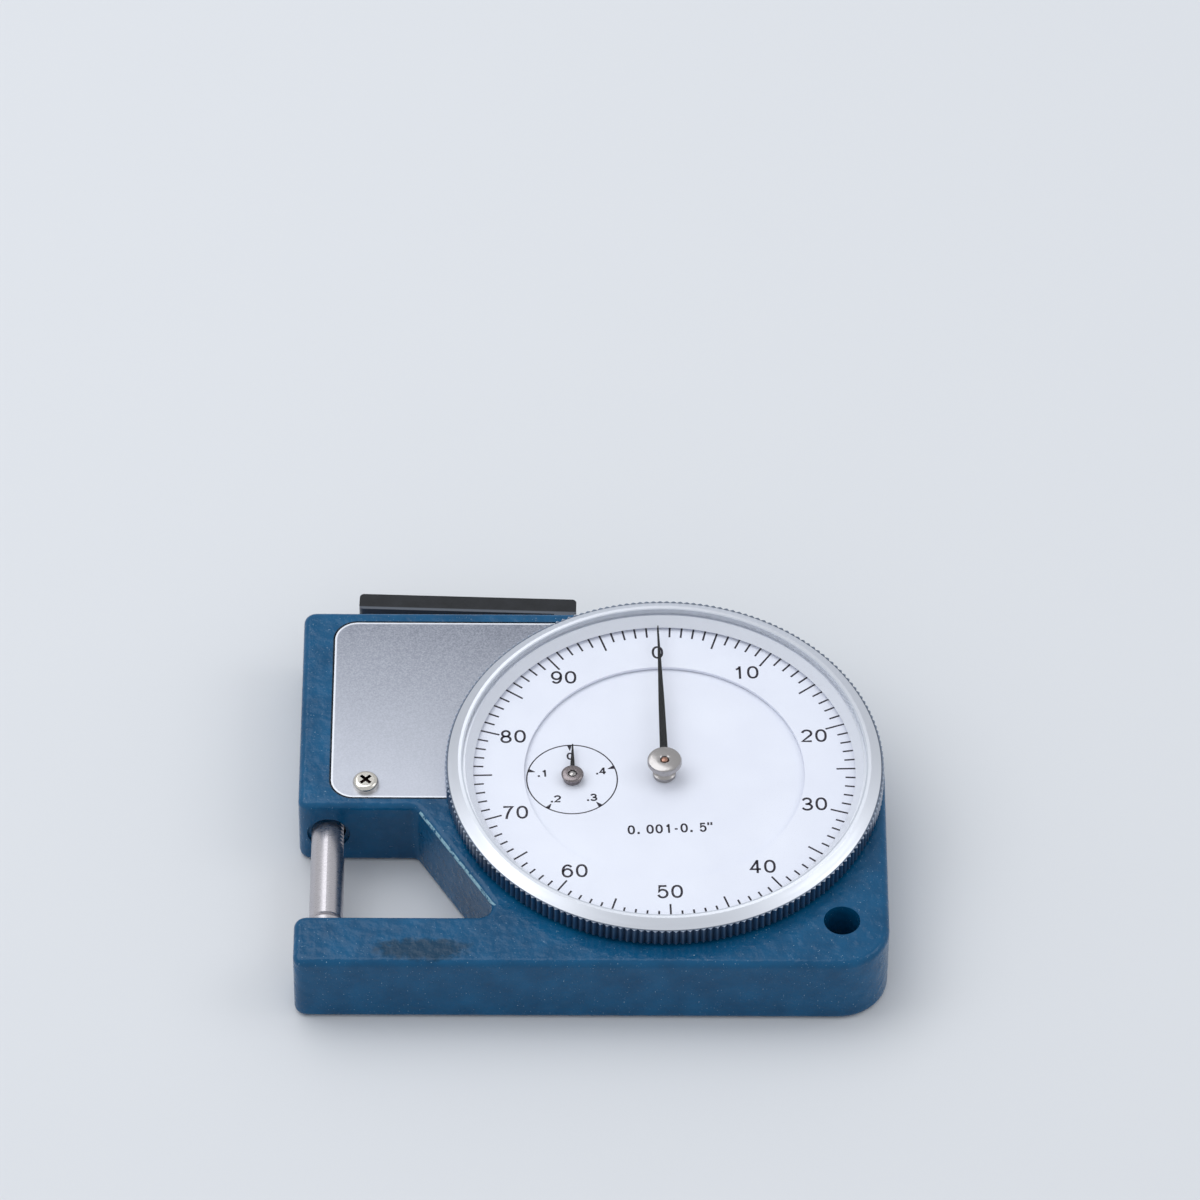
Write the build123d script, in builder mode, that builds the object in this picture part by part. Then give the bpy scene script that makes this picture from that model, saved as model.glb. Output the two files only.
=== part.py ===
from build123d import *
from math import acos, atan2, ceil, cos, degrees, hypot, pi, radians, sin, sqrt, tan
import os

# Pocket thickness gauge lying on its back, in millimetres.
# +X runs along the jaws to the dial, +Y towards the thumb lever, +Z out of the dial.
# The origin is on the dial axis, in the back face of the casting.

os.makedirs("parts", exist_ok=True)

# Casting
BEZEL_R = 28.6
BODY_T = 11.0
BODY_LEFT = -47.65
BODY_RIGHT = 28.8
BODY_BOTTOM = -31.5
BODY_TOP = 29.05
EDGE_ROUND = 0.9
CORNER_R = 1.6
RIGHT_CORNER_R = 6.5
FLOOR_T = 1.2
UPPER_JAW_Y = -5.1
LOWER_JAW_Y = -23.5
THROAT_TOP_X = -32.3
THROAT_FOOT_X = -20.9
THROAT_CORNER_R = 1.4
THROAT_FOOT_R = 1.8
HANG_HOLE_AT = (22.7, -24.1)
HANG_HOLE_R = 2.35

# Chamber for the movement, open at the front and closed by the cover and the seat ring
CHAMBER_R = 17.8
POCKET_LEFT = -42.9
POCKET_BLOCK_X = -40.4
POCKET_BLOCK_Y = 12.0
POCKET_LOW = -2.4
POCKET_HIGH = 25.9
POCKET_RIGHT = 4.5
POCKET_CORNER_R = 1.5
WHEEL_GAP = 0.7

# Cover plate in its recess
PLATE_LEFT = -43.45
PLATE_RIGHT = 0.0
PLATE_LOW = -3.55
PLATE_HIGH = 27.0
PLATE_T = 1.0
PLATE_CORNER_R = 3.0
PLATE_GAP = 0.15
PLATE_SLIVER = 2.0
COVER_SCREW_AT = (-38.9, -1.3)
COVER_HEAD_R = 1.7
COVER_HEAD_H = 1.0
COVER_HEAD_ROUND = 0.6
COVER_SCREW_R = 0.95
COVER_SCREW_L = 5.0
SCREW_BOSS_R = 1.9
CROSS_W = 0.45
CROSS_L = 1.8
CROSS_DEPTH = 0.6

# Ring that carries dial and bezel
SEAT_R = 26.5
SEAT_BORE_R = 18.6
SEAT_TOP_Z = 11.7
RIM_R = 25.8
RIM_TOP_Z = 12.9
RIM_GAP = 0.15
WIRE_R = 0.22
WIRE_Z = 12.0
WIRE_SLACK = 0.05
WIRE_ARC = 324
SEAT_SCREW_PCR = 22.5
SEAT_SCREW_ANGLES = (-100, -20, 60)
SEAT_SCREW_R = 0.8
SEAT_SCREW_L = 5.0
SEAT_HEAD_R = 1.4
SEAT_HEAD_H = 0.7

# Dial and bezel
DISC_R = 19.7
DISC_T = 0.4
DISC_TOP_Z = 11.6
RING_INNER_R = 18.3
RING_OUTER_R = 25.6
RING_T = 0.4
RING_EDGE_W = 0.2
DIAL_Z = 12.16
CONE_FOOT_Z = 12.65
SKIRT_Z = 11.4
KNURL_TOP_Z = 13.8
KNURL_DEPTH = 0.32
KNURL_TEETH = 200
BEZEL_TOP_Z = 14.7
BEZEL_LIP_R = 26.9
TURN_GAP = 0.05
DIAL_VIEW_R = 24.9
CONE_TOP_R = 25.95
CRYSTAL_R = 26.3
CRYSTAL_SEAT_Z = 13.9
CRYSTAL_T = 0.9
CRYSTAL_DOME = 1.2
GASKET_W = 0.2

# Spindle, rack and anvil
SPINDLE_X = -43.75
SPINDLE_R = 2.2
SPINDLE_TOP = 13.1
SPINDLE_CHAMFER = 0.3
TRAVEL = 12.7
RUN_GAP = 0.04
BORE_TOP = 26.2
ANVIL_TOP = -20.4
ANVIL_COLLAR_R = 2.8
ANVIL_COLLAR_TOP = -21.2
ANVIL_STEM_R = 1.9
ANVIL_STEM_L = 6.0
BUSH_R = 2.8
BUSH_TOP = -1.0
BUSH_SINK = 0.5
RACK_PITCH = 0.635
RACK_OFFSET = 1.8
RACK_LOW = -8.4
RACK_HIGH = 8.1
RACK_RELIEF = 1.3
LIFT_PIN_Y = 10.2
LIFT_PIN_R = 0.7
LIFT_PIN_END_X = -38.6

# Wheel train
MODULE = 0.25
RACK_PINION_TEETH = 20
RACK_PINION_Y = 5.5
FIRST_TEETH = 20
IDLER_ONE_TEETH = 46
IDLER_TWO_TEETH = 52
COUNTER_TEETH = 20
GREAT_TEETH = 80
CENTRE_TEETH = 16
COUNTER_ANGLE = 183.9
ADDENDUM = 0.85
DEDENDUM = 1.2
TOOTH_SHARE = 0.40
FLANK_ANGLE = 20
WHEEL_Z = 2.2
WHEEL_T = 0.7
GREAT_Z = 4.6
GREAT_T = 0.8
PINION_EXTRA = 0.2
RACK_PINION_W = 2.2
ARBOR_R = 0.6
PIVOT_R = 0.3
PIVOT_GAP = 0.03
END_SHAKE = 0.05
STUD_R = 0.7
STUD_HEAD_R = 1.2
STUD_HEAD_H = 0.35
HUB_R = 1.3
HUB_H = 0.5
HAIRSPRING_Z = 6.0
HAIRSPRING_H = 0.6
HAIRSPRING_W = 0.14
HAIRSPRING_STEP = 0.32
HAIRSPRING_TURNS = 3

# Movement plates
PLATE_GAUGE = 0.7
TOP_PLATE_Z = 7.2
TOP_PLATE_T = 0.8
PILLAR_R = 1.1
PILLARS_AT = ((-35.6, -0.7), (-11.6, 10.8), (6.5, 6.0), (6.0, -6.5))
PILLAR_LAND = 0.7
PILLAR_SCREW_R = 0.5
PILLAR_HEAD_R = 0.95
PILLAR_HEAD_H = 0.6

# Lift levers
ARM_PIVOT_X = 1.6
ARM_Z = 4.5
ARM_T = 2.0
ARM_BOSS_R = 2.0
ARM_TIP_R = 41.2
FORK_DEPTH = 1.3
FORK_SLOT_W = 1.65
FORK_HALF_W = 1.9
ARM_NECK_W = 2.2
ARM_STUD_R = 0.8
ARM_HEAD_R = 1.2
PEG_R = 0.5
PEG_REACH = 2.7
THUMB_PIVOT = (-11.5, 26.0)
THUMB_PIN_R = 0.8
THUMB_BOSS_R = 1.9
THUMB_Z = 6.7
THUMB_T = 1.8
THUMB_HOUSING_R = 2.3
THUMB_CONTACT_GAP = 0.05
HOOK_T = 1.2
HOOK_LEFT_X = -4.0
HOOK_RIGHT_X = -0.75
HOOK_R = 0.8
BAR_LEFT = -40.5
BAR_RIGHT = -11.6
BAR_LIFT = 1.85
BAR_TILT = 1.75
BAR_H = 2.65
BAR_Z = 2.5
BAR_ROUND = 0.6
WEB_W = 3.4
SLOT_GAP = 0.15
SLOT_LEFT_X = -16.0
SLOT_RIGHT_X = -7.8
SLOT_FLOOR_Y = 23.0
SPRING_WIRE_R = 0.25
SPRING_Z = 3.8
SPRING_LEG_END = (-5.0, 25.6)
SPRING_HOOK_REACH = 10.0

# Hands
HAND_Z = 13.6
HAND_T = 0.2
HAND_LENGTH = 24.2
HAND_ROOT_W = 1.1
HAND_TIP_W = 0.16
HAND_LEAN = 1.8
WAIST_SHARE = 0.36
WAIST_AT = 0.45
MAIN_BUSH_R = 1.5
MAIN_CAP_R = 2.25
MAIN_CAP_H = 1.0
CENTRE_ARBOR_R = 0.5
SMALL_HAND_Z = 12.25
SMALL_HAND_T = 0.15
SMALL_HAND_LENGTH = 5.4
SMALL_ROOT_W = 0.7
SMALL_BUSH_R = 1.2
SMALL_CAP_R = 1.45
SMALL_CAP_H = 0.45
CAP_ROUND = 0.25
HOLE_GAP = 0.3
HUB_GAP = 0.1

# Sizes that follow
mid_z = BODY_T / 2
recess_z = BODY_T - PLATE_T
plate_top_z = FLOOR_T + PLATE_GAUGE
rack_module = RACK_PITCH / pi
rack_line_x = SPINDLE_X + RACK_OFFSET
rack_axis = (rack_line_x + RACK_PINION_TEETH * rack_module / 2, RACK_PINION_Y)
great_tip_r = (GREAT_TEETH / 2 + ADDENDUM) * MODULE
idler_two_tip_r = (IDLER_TWO_TEETH / 2 + ADDENDUM) * MODULE
counter_reach = (GREAT_TEETH + CENTRE_TEETH) * MODULE / 2
counter_axis = (
    counter_reach * cos(radians(COUNTER_ANGLE)),
    counter_reach * sin(radians(COUNTER_ANGLE)),
)
centre_axis = (0.0, 0.0)
idler_one_axis = (rack_axis[0] + (FIRST_TEETH + IDLER_ONE_TEETH) * MODULE / 2, rack_axis[1])


def meeting_point(first, first_r, second, second_r):
    """The point at one distance from each of two axes, on the left of the line between them."""
    span = hypot(second[0] - first[0], second[1] - first[1])
    along = (span**2 + first_r**2 - second_r**2) / (2 * span)
    aside = sqrt(first_r**2 - along**2)
    ux, uy = (second[0] - first[0]) / span, (second[1] - first[1]) / span
    return (first[0] + along * ux - aside * uy, first[1] + along * uy + aside * ux)


idler_two_axis = meeting_point(
    idler_one_axis,
    (IDLER_ONE_TEETH + IDLER_TWO_TEETH) * MODULE / 2,
    counter_axis,
    (IDLER_TWO_TEETH + COUNTER_TEETH) * MODULE / 2,
)


def mesh_phase(axis_a, teeth_a, phase_a, axis_b, teeth_b):
    """Angle of one tooth of wheel b that puts a gap of b on the tooth of a that faces it."""
    line = degrees(atan2(axis_b[1] - axis_a[1], axis_b[0] - axis_a[0]))
    pitch_a = 360 / teeth_a
    ahead = (phase_a - line) % pitch_a
    return line + 180 - ahead * teeth_a / teeth_b + 180 / teeth_b


first_phase = 0.0
idler_one_phase = mesh_phase(rack_axis, FIRST_TEETH, first_phase, idler_one_axis, IDLER_ONE_TEETH)
idler_two_phase = mesh_phase(
    idler_one_axis, IDLER_ONE_TEETH, idler_one_phase, idler_two_axis, IDLER_TWO_TEETH
)
counter_phase = mesh_phase(
    idler_two_axis, IDLER_TWO_TEETH, idler_two_phase, counter_axis, COUNTER_TEETH
)
great_phase = 0.0
centre_phase = mesh_phase(counter_axis, GREAT_TEETH, great_phase, centre_axis, CENTRE_TEETH)
rack_tooth_y = RACK_LOW + RACK_PITCH / 2
rack_ahead = (rack_tooth_y - RACK_PINION_Y) % RACK_PITCH
rack_pinion_r = RACK_PINION_TEETH * rack_module / 2
rack_phase = 180 - degrees(rack_ahead / rack_pinion_r) + 180 / RACK_PINION_TEETH


def tooth_points(teeth, module, phase):
    """Outline of a spur wheel with straight flanks, four points to a tooth."""
    pitch_r = teeth * module / 2
    half = TOOTH_SHARE * 180 / teeth
    slope = tan(radians(FLANK_ANGLE)) * module / pitch_r
    tip_half = half - degrees(ADDENDUM * slope)
    root_half = half + degrees(DEDENDUM * slope)
    tip_r = pitch_r + ADDENDUM * module
    root_r = pitch_r - DEDENDUM * module
    corners = ((root_r, -root_half), (tip_r, -tip_half), (tip_r, tip_half), (root_r, root_half))
    points = []
    for tooth in range(teeth):
        middle = phase + 360 * tooth / teeth
        for radius, offset in corners:
            angle = radians(middle + offset)
            points.append((radius * cos(angle), radius * sin(angle)))
    return points


def toothed_wheel(teeth, module, phase, axis, low_z, thickness, bore_r, spokes=0):
    """A spur wheel on its arbor's axis, with crossings where it has spokes."""
    root_r = (teeth / 2 - DEDENDUM) * module
    with BuildPart() as wheel:
        with BuildSketch(Plane((axis[0], axis[1], low_z))):
            with BuildLine():
                Polyline(*tooth_points(teeth, module, phase), close=True)
            make_face()
            if spokes:
                Circle(root_r * 0.86, mode=Mode.SUBTRACT)
                Circle(root_r * 0.3)
                with PolarLocations(root_r * 0.6, spokes):
                    Rectangle(root_r * 0.7, root_r * 0.14)
            Circle(bore_r, mode=Mode.SUBTRACT)
        extrude(amount=thickness)
    return wheel


def turned_pin(axis, steps):
    """A turned piece standing along Z: each step is a radius from one height to the next."""
    with BuildPart() as pin:
        for low_z, high_z, radius in steps:
            with BuildSketch(Plane((axis[0], axis[1], low_z))):
                Circle(radius)
            extrude(amount=high_z - low_z)
    return pin


def save(piece, label):
    piece.part.label = label
    export_step(piece.part, f"parts/{label}.step")


# Cast frame: a C with the jaws at the left, a chamber open at the front and a hanging hole
frame_corners = (
    ((BODY_LEFT, BODY_BOTTOM), CORNER_R),
    ((BODY_RIGHT, BODY_BOTTOM), RIGHT_CORNER_R),
    ((BODY_RIGHT, BODY_TOP), BEZEL_R - TURN_GAP),
    ((BODY_LEFT, BODY_TOP), CORNER_R),
    ((BODY_LEFT, UPPER_JAW_Y), CORNER_R),
    ((THROAT_TOP_X, UPPER_JAW_Y), THROAT_CORNER_R),
    ((THROAT_FOOT_X, LOWER_JAW_Y), THROAT_FOOT_R),
    ((BODY_LEFT, LOWER_JAW_Y), CORNER_R),
)
slot_low_z = THUMB_Z - SLOT_GAP
slot_high_z = THUMB_Z + THUMB_T + SLOT_GAP
with BuildPart() as cast_frame:
    with BuildSketch():
        with BuildLine():
            FilletPolyline(
                *[point for point, _ in frame_corners],
                radius=[radius for _, radius in frame_corners],
                close=True,
            )
        make_face()
    extrude(amount=BODY_T)
    fillet(cast_frame.edges().group_by(Axis.Z)[-1], EDGE_ROUND)
    fillet(cast_frame.edges().group_by(Axis.Z)[0], EDGE_ROUND)
    with BuildSketch(Plane.XY.offset(FLOOR_T)):
        Circle(CHAMBER_R)
        with Locations(counter_axis):
            Circle(great_tip_r + WHEEL_GAP)
        with Locations(idler_two_axis):
            Circle(idler_two_tip_r + WHEEL_GAP)
        with Locations(((POCKET_LEFT + POCKET_RIGHT) / 2, (POCKET_LOW + POCKET_BLOCK_Y) / 2)):
            Rectangle(POCKET_RIGHT - POCKET_LEFT, POCKET_BLOCK_Y - POCKET_LOW)
        with Locations(((POCKET_BLOCK_X + POCKET_RIGHT) / 2, (POCKET_LOW + POCKET_HIGH) / 2)):
            RectangleRounded(POCKET_RIGHT - POCKET_BLOCK_X, POCKET_HIGH - POCKET_LOW, POCKET_CORNER_R)
        with Locations(COVER_SCREW_AT):
            Circle(SCREW_BOSS_R, mode=Mode.SUBTRACT)
        with Locations(THUMB_PIVOT):
            Circle(THUMB_HOUSING_R, mode=Mode.SUBTRACT)
    extrude(amount=BODY_T - FLOOR_T, mode=Mode.SUBTRACT)
    with BuildSketch(Plane.XY.offset(recess_z)):
        Circle(SEAT_R + TURN_GAP)
        with Locations(((PLATE_LEFT - PLATE_GAP + PLATE_RIGHT) / 2, (PLATE_LOW + PLATE_HIGH) / 2)):
            RectangleRounded(
                PLATE_RIGHT - PLATE_LEFT + PLATE_GAP,
                PLATE_HIGH - PLATE_LOW + 2 * PLATE_GAP,
                PLATE_CORNER_R + PLATE_GAP,
            )
    extrude(amount=PLATE_T, mode=Mode.SUBTRACT)
    # Bore of the spindle, from the jaw up, with the wider seat of its bush
    with BuildSketch(Plane(origin=(SPINDLE_X, UPPER_JAW_Y, mid_z), z_dir=(0, 1, 0))):
        Circle(SPINDLE_R + RUN_GAP)
    extrude(amount=BORE_TOP - UPPER_JAW_Y, mode=Mode.SUBTRACT)
    with BuildSketch(Plane(origin=(SPINDLE_X, UPPER_JAW_Y, mid_z), z_dir=(0, 1, 0))):
        Circle(BUSH_R)
    extrude(amount=BUSH_TOP - UPPER_JAW_Y, mode=Mode.SUBTRACT)
    # Slot that the lift pin climbs in, which keeps the spindle from turning
    pin_slot_w = 2 * (LIFT_PIN_R + SLOT_GAP / 2)
    with BuildSketch(Plane(origin=(SPINDLE_X, LIFT_PIN_Y, mid_z), x_dir=(0, 1, 0), z_dir=(1, 0, 0))):
        with Locations((TRAVEL / 2, 0)):
            SlotCenterToCenter(TRAVEL, pin_slot_w)
    extrude(amount=POCKET_BLOCK_X - SPINDLE_X + 1, mode=Mode.SUBTRACT)
    # Seat of the anvil
    with BuildSketch(Plane(origin=(SPINDLE_X, LOWER_JAW_Y, mid_z), z_dir=(0, -1, 0))):
        Circle(ANVIL_STEM_R)
    extrude(amount=ANVIL_STEM_L, mode=Mode.SUBTRACT)
    # Slot and pin hole of the thumb lever
    with BuildSketch(Plane.XY.offset(slot_low_z)):
        with Locations(((SLOT_LEFT_X + SLOT_RIGHT_X) / 2, (SLOT_FLOOR_Y + BODY_TOP + 1) / 2)):
            Rectangle(SLOT_RIGHT_X - SLOT_LEFT_X, BODY_TOP + 1 - SLOT_FLOOR_Y)
    extrude(amount=slot_high_z - slot_low_z, mode=Mode.SUBTRACT)
    with BuildSketch(Plane.XY.offset(recess_z)):
        with Locations(THUMB_PIVOT):
            Circle(THUMB_PIN_R)
    extrude(amount=FLOOR_T + END_SHAKE - recess_z, mode=Mode.SUBTRACT)
    # Tapped holes and the seat of the lift arm's stud
    with BuildSketch(Plane.XY.offset(recess_z)):
        with Locations(COVER_SCREW_AT):
            Circle(COVER_SCREW_R)
        for angle in SEAT_SCREW_ANGLES:
            with PolarLocations(SEAT_SCREW_PCR, 1, angle):
                Circle(SEAT_SCREW_R)
    extrude(amount=-SEAT_SCREW_L, mode=Mode.SUBTRACT)
    with BuildSketch():
        with Locations(HANG_HOLE_AT):
            Circle(HANG_HOLE_R)
    extrude(amount=BODY_T, mode=Mode.SUBTRACT)
save(cast_frame, "cast_frame")

# Anvil: a collared button pressed into the lower jaw
with BuildPart() as anvil:
    with BuildSketch(Plane(origin=(SPINDLE_X, 0, mid_z), x_dir=(1, 0, 0), z_dir=(0, 0, 1))):
        with BuildLine():
            Polyline(
                (0, LOWER_JAW_Y - ANVIL_STEM_L),
                (ANVIL_STEM_R, LOWER_JAW_Y - ANVIL_STEM_L),
                (ANVIL_STEM_R, LOWER_JAW_Y),
                (ANVIL_COLLAR_R, LOWER_JAW_Y),
                (ANVIL_COLLAR_R, ANVIL_COLLAR_TOP),
                (SPINDLE_R, ANVIL_TOP),
                (0, ANVIL_TOP),
                close=True,
            )
        make_face()
    revolve(axis=Axis((SPINDLE_X, 0, mid_z), (0, 1, 0)))
save(anvil, "anvil")

# Bush that guides the spindle above the jaw
with BuildPart() as lower_guide_bush:
    with BuildSketch(Plane(origin=(SPINDLE_X, UPPER_JAW_Y + BUSH_SINK, mid_z), z_dir=(0, 1, 0))):
        Circle(BUSH_R)
        Circle(SPINDLE_R + RUN_GAP, mode=Mode.SUBTRACT)
    extrude(amount=BUSH_TOP - UPPER_JAW_Y - BUSH_SINK)
save(lower_guide_bush, "lower_guide_bush")

# Spindle: a round bar with the rack cut along its dial side
rack_teeth = ceil((RACK_HIGH - RACK_LOW) / RACK_PITCH)
rack_tip_x = rack_line_x + ADDENDUM * rack_module
rack_root_x = rack_line_x - DEDENDUM * rack_module
rack_slope = tan(radians(FLANK_ANGLE)) * rack_module
tip_half_y = TOOTH_SHARE * RACK_PITCH / 2 - ADDENDUM * rack_slope
root_half_y = TOOTH_SHARE * RACK_PITCH / 2 + DEDENDUM * rack_slope
rack_points = []
for tooth in range(rack_teeth):
    middle_y = rack_tooth_y + tooth * RACK_PITCH
    rack_points += [
        (rack_root_x, middle_y - root_half_y),
        (rack_tip_x, middle_y - tip_half_y),
        (rack_tip_x, middle_y + tip_half_y),
        (rack_root_x, middle_y + root_half_y),
    ]
rack_end_y = rack_tooth_y + (rack_teeth - 0.5) * RACK_PITCH
clear_x = SPINDLE_X + SPINDLE_R + 1
with BuildPart() as spindle:
    with BuildSketch(Plane(origin=(SPINDLE_X, ANVIL_TOP, mid_z), z_dir=(0, 1, 0))):
        Circle(SPINDLE_R)
    extrude(amount=SPINDLE_TOP - ANVIL_TOP)
    chamfer(spindle.edges().filter_by(GeomType.CIRCLE), SPINDLE_CHAMFER)
    with BuildSketch(Plane.XY.offset(mid_z - SPINDLE_R)):
        with BuildLine():
            Polyline(
                (clear_x, RACK_LOW - RACK_RELIEF),
                (rack_tip_x, RACK_LOW - RACK_RELIEF),
                (rack_tip_x, RACK_LOW),
                (rack_root_x, RACK_LOW),
                *rack_points,
                (rack_root_x, rack_end_y),
                (clear_x, rack_end_y),
                close=True,
            )
        make_face()
    extrude(amount=2 * SPINDLE_R, mode=Mode.SUBTRACT)
    with BuildSketch(Plane(origin=(SPINDLE_X, LIFT_PIN_Y, mid_z), z_dir=(1, 0, 0))):
        Circle(LIFT_PIN_R)
    extrude(amount=SPINDLE_R, mode=Mode.SUBTRACT)
save(spindle, "spindle")

# Pin on the spindle that the lift arm's fork raises
with BuildPart() as lift_pin:
    with BuildSketch(Plane(origin=(SPINDLE_X, LIFT_PIN_Y, mid_z), z_dir=(1, 0, 0))):
        Circle(LIFT_PIN_R)
    extrude(amount=LIFT_PIN_END_X - SPINDLE_X)
save(lift_pin, "lift_pin")

# Cover plate, which stops against the seat ring under the bezel
plate_notch_w = 2 * sqrt((SEAT_R + PLATE_SLIVER) ** 2 - SEAT_R**2)
plate_notch_h = 2 * (PLATE_HIGH - SEAT_R) + PLATE_SLIVER
with BuildPart() as cover_plate:
    with BuildSketch(Plane.XY.offset(recess_z)):
        with Locations(((PLATE_LEFT + PLATE_RIGHT) / 2, (PLATE_LOW + PLATE_HIGH) / 2)):
            RectangleRounded(PLATE_RIGHT - PLATE_LEFT, PLATE_HIGH - PLATE_LOW, PLATE_CORNER_R)
        Circle(SEAT_R + TURN_GAP, mode=Mode.SUBTRACT)
        with Locations((PLATE_RIGHT, PLATE_HIGH)):
            Rectangle(plate_notch_w, plate_notch_h, mode=Mode.SUBTRACT)
        with Locations(COVER_SCREW_AT):
            Circle(COVER_SCREW_R + TURN_GAP, mode=Mode.SUBTRACT)
    extrude(amount=PLATE_T)
save(cover_plate, "cover_plate")

# Cover screw: a domed head with a cross recess
with BuildPart() as cover_screw:
    with BuildSketch(Plane((COVER_SCREW_AT[0], COVER_SCREW_AT[1], BODY_T - COVER_SCREW_L))):
        Circle(COVER_SCREW_R)
    extrude(amount=COVER_SCREW_L)
    with BuildSketch(Plane((COVER_SCREW_AT[0], COVER_SCREW_AT[1], BODY_T))):
        Circle(COVER_HEAD_R)
    extrude(amount=COVER_HEAD_H)
    fillet(cover_screw.edges().group_by(Axis.Z)[-1], COVER_HEAD_ROUND)
    head_top_z = BODY_T + COVER_HEAD_H
    with BuildSketch(Plane((COVER_SCREW_AT[0], COVER_SCREW_AT[1], head_top_z - CROSS_DEPTH))):
        Rectangle(CROSS_L, CROSS_W, rotation=45)
        Rectangle(CROSS_L, CROSS_W, rotation=-45)
    extrude(amount=CROSS_DEPTH, mode=Mode.SUBTRACT)
save(cover_screw, "cover_screw")

# Seat ring: holds the dial in its counterbore and the bezel on its rim
groove_r = SEAT_R - WIRE_R - WIRE_SLACK
with BuildPart() as dial_seat_ring:
    with BuildSketch(Plane.XZ):
        with BuildLine():
            Polyline(
                (SEAT_BORE_R, recess_z),
                (SEAT_R, recess_z),
                (SEAT_R, WIRE_Z - WIRE_R - WIRE_SLACK),
                (groove_r, WIRE_Z - WIRE_R - WIRE_SLACK),
                (groove_r, WIRE_Z + WIRE_R + WIRE_SLACK),
                (SEAT_R, WIRE_Z + WIRE_R + WIRE_SLACK),
                (SEAT_R, RIM_TOP_Z),
                (RIM_R, RIM_TOP_Z),
                (RIM_R, SEAT_TOP_Z),
                (DISC_R, SEAT_TOP_Z),
                (DISC_R, DISC_TOP_Z - DISC_T),
                (SEAT_BORE_R, DISC_TOP_Z - DISC_T),
                close=True,
            )
        make_face()
    revolve(axis=Axis.Z)
    for angle in SEAT_SCREW_ANGLES:
        with BuildSketch(Plane.XY.offset(recess_z)):
            with PolarLocations(SEAT_SCREW_PCR, 1, angle):
                Circle(SEAT_SCREW_R)
        extrude(amount=SEAT_TOP_Z - recess_z, mode=Mode.SUBTRACT)
        with BuildSketch(Plane.XY.offset(SEAT_TOP_Z - SEAT_HEAD_H)):
            with PolarLocations(SEAT_SCREW_PCR, 1, angle):
                Circle(SEAT_HEAD_R + TURN_GAP)
        extrude(amount=SEAT_HEAD_H, mode=Mode.SUBTRACT)
save(dial_seat_ring, "dial_seat_ring")

with BuildPart() as seat_ring_screws:
    for angle in SEAT_SCREW_ANGLES:
        with BuildSketch(Plane.XY.offset(recess_z - SEAT_SCREW_L)):
            with PolarLocations(SEAT_SCREW_PCR, 1, angle):
                Circle(SEAT_SCREW_R)
        extrude(amount=SEAT_TOP_Z - SEAT_HEAD_H - recess_z + SEAT_SCREW_L)
        with BuildSketch(Plane.XY.offset(SEAT_TOP_Z - SEAT_HEAD_H)):
            with PolarLocations(SEAT_SCREW_PCR, 1, angle):
                Circle(SEAT_HEAD_R)
        extrude(amount=SEAT_HEAD_H)
save(seat_ring_screws, "seat_ring_screws")

# Snap wire between seat ring and bezel, open for a tenth of a turn
with BuildPart() as bezel_wire:
    with BuildSketch(Plane.XZ):
        with Locations((SEAT_R, WIRE_Z)):
            Circle(WIRE_R)
    revolve(axis=Axis.Z, revolution_arc=WIRE_ARC)
save(bezel_wire, "bezel_wire")

# Fixed dial disc, which both hand arbors pass through
with BuildPart() as inner_dial:
    with BuildSketch(Plane.XY.offset(DISC_TOP_Z - DISC_T)):
        Circle(DISC_R)
        Circle(CENTRE_ARBOR_R + HOLE_GAP, mode=Mode.SUBTRACT)
        with Locations(counter_axis):
            Circle(CENTRE_ARBOR_R + HOLE_GAP, mode=Mode.SUBTRACT)
    extrude(amount=DISC_T)
save(inner_dial, "inner_dial")

# Graduated ring, which turns with the bezel
with BuildPart() as graduated_ring:
    with BuildSketch(Plane.XY.offset(DIAL_Z - RING_T)):
        Circle(RING_OUTER_R)
        Circle(RING_INNER_R, mode=Mode.SUBTRACT)
    extrude(amount=RING_T)
save(graduated_ring, "graduated_ring")

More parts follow.
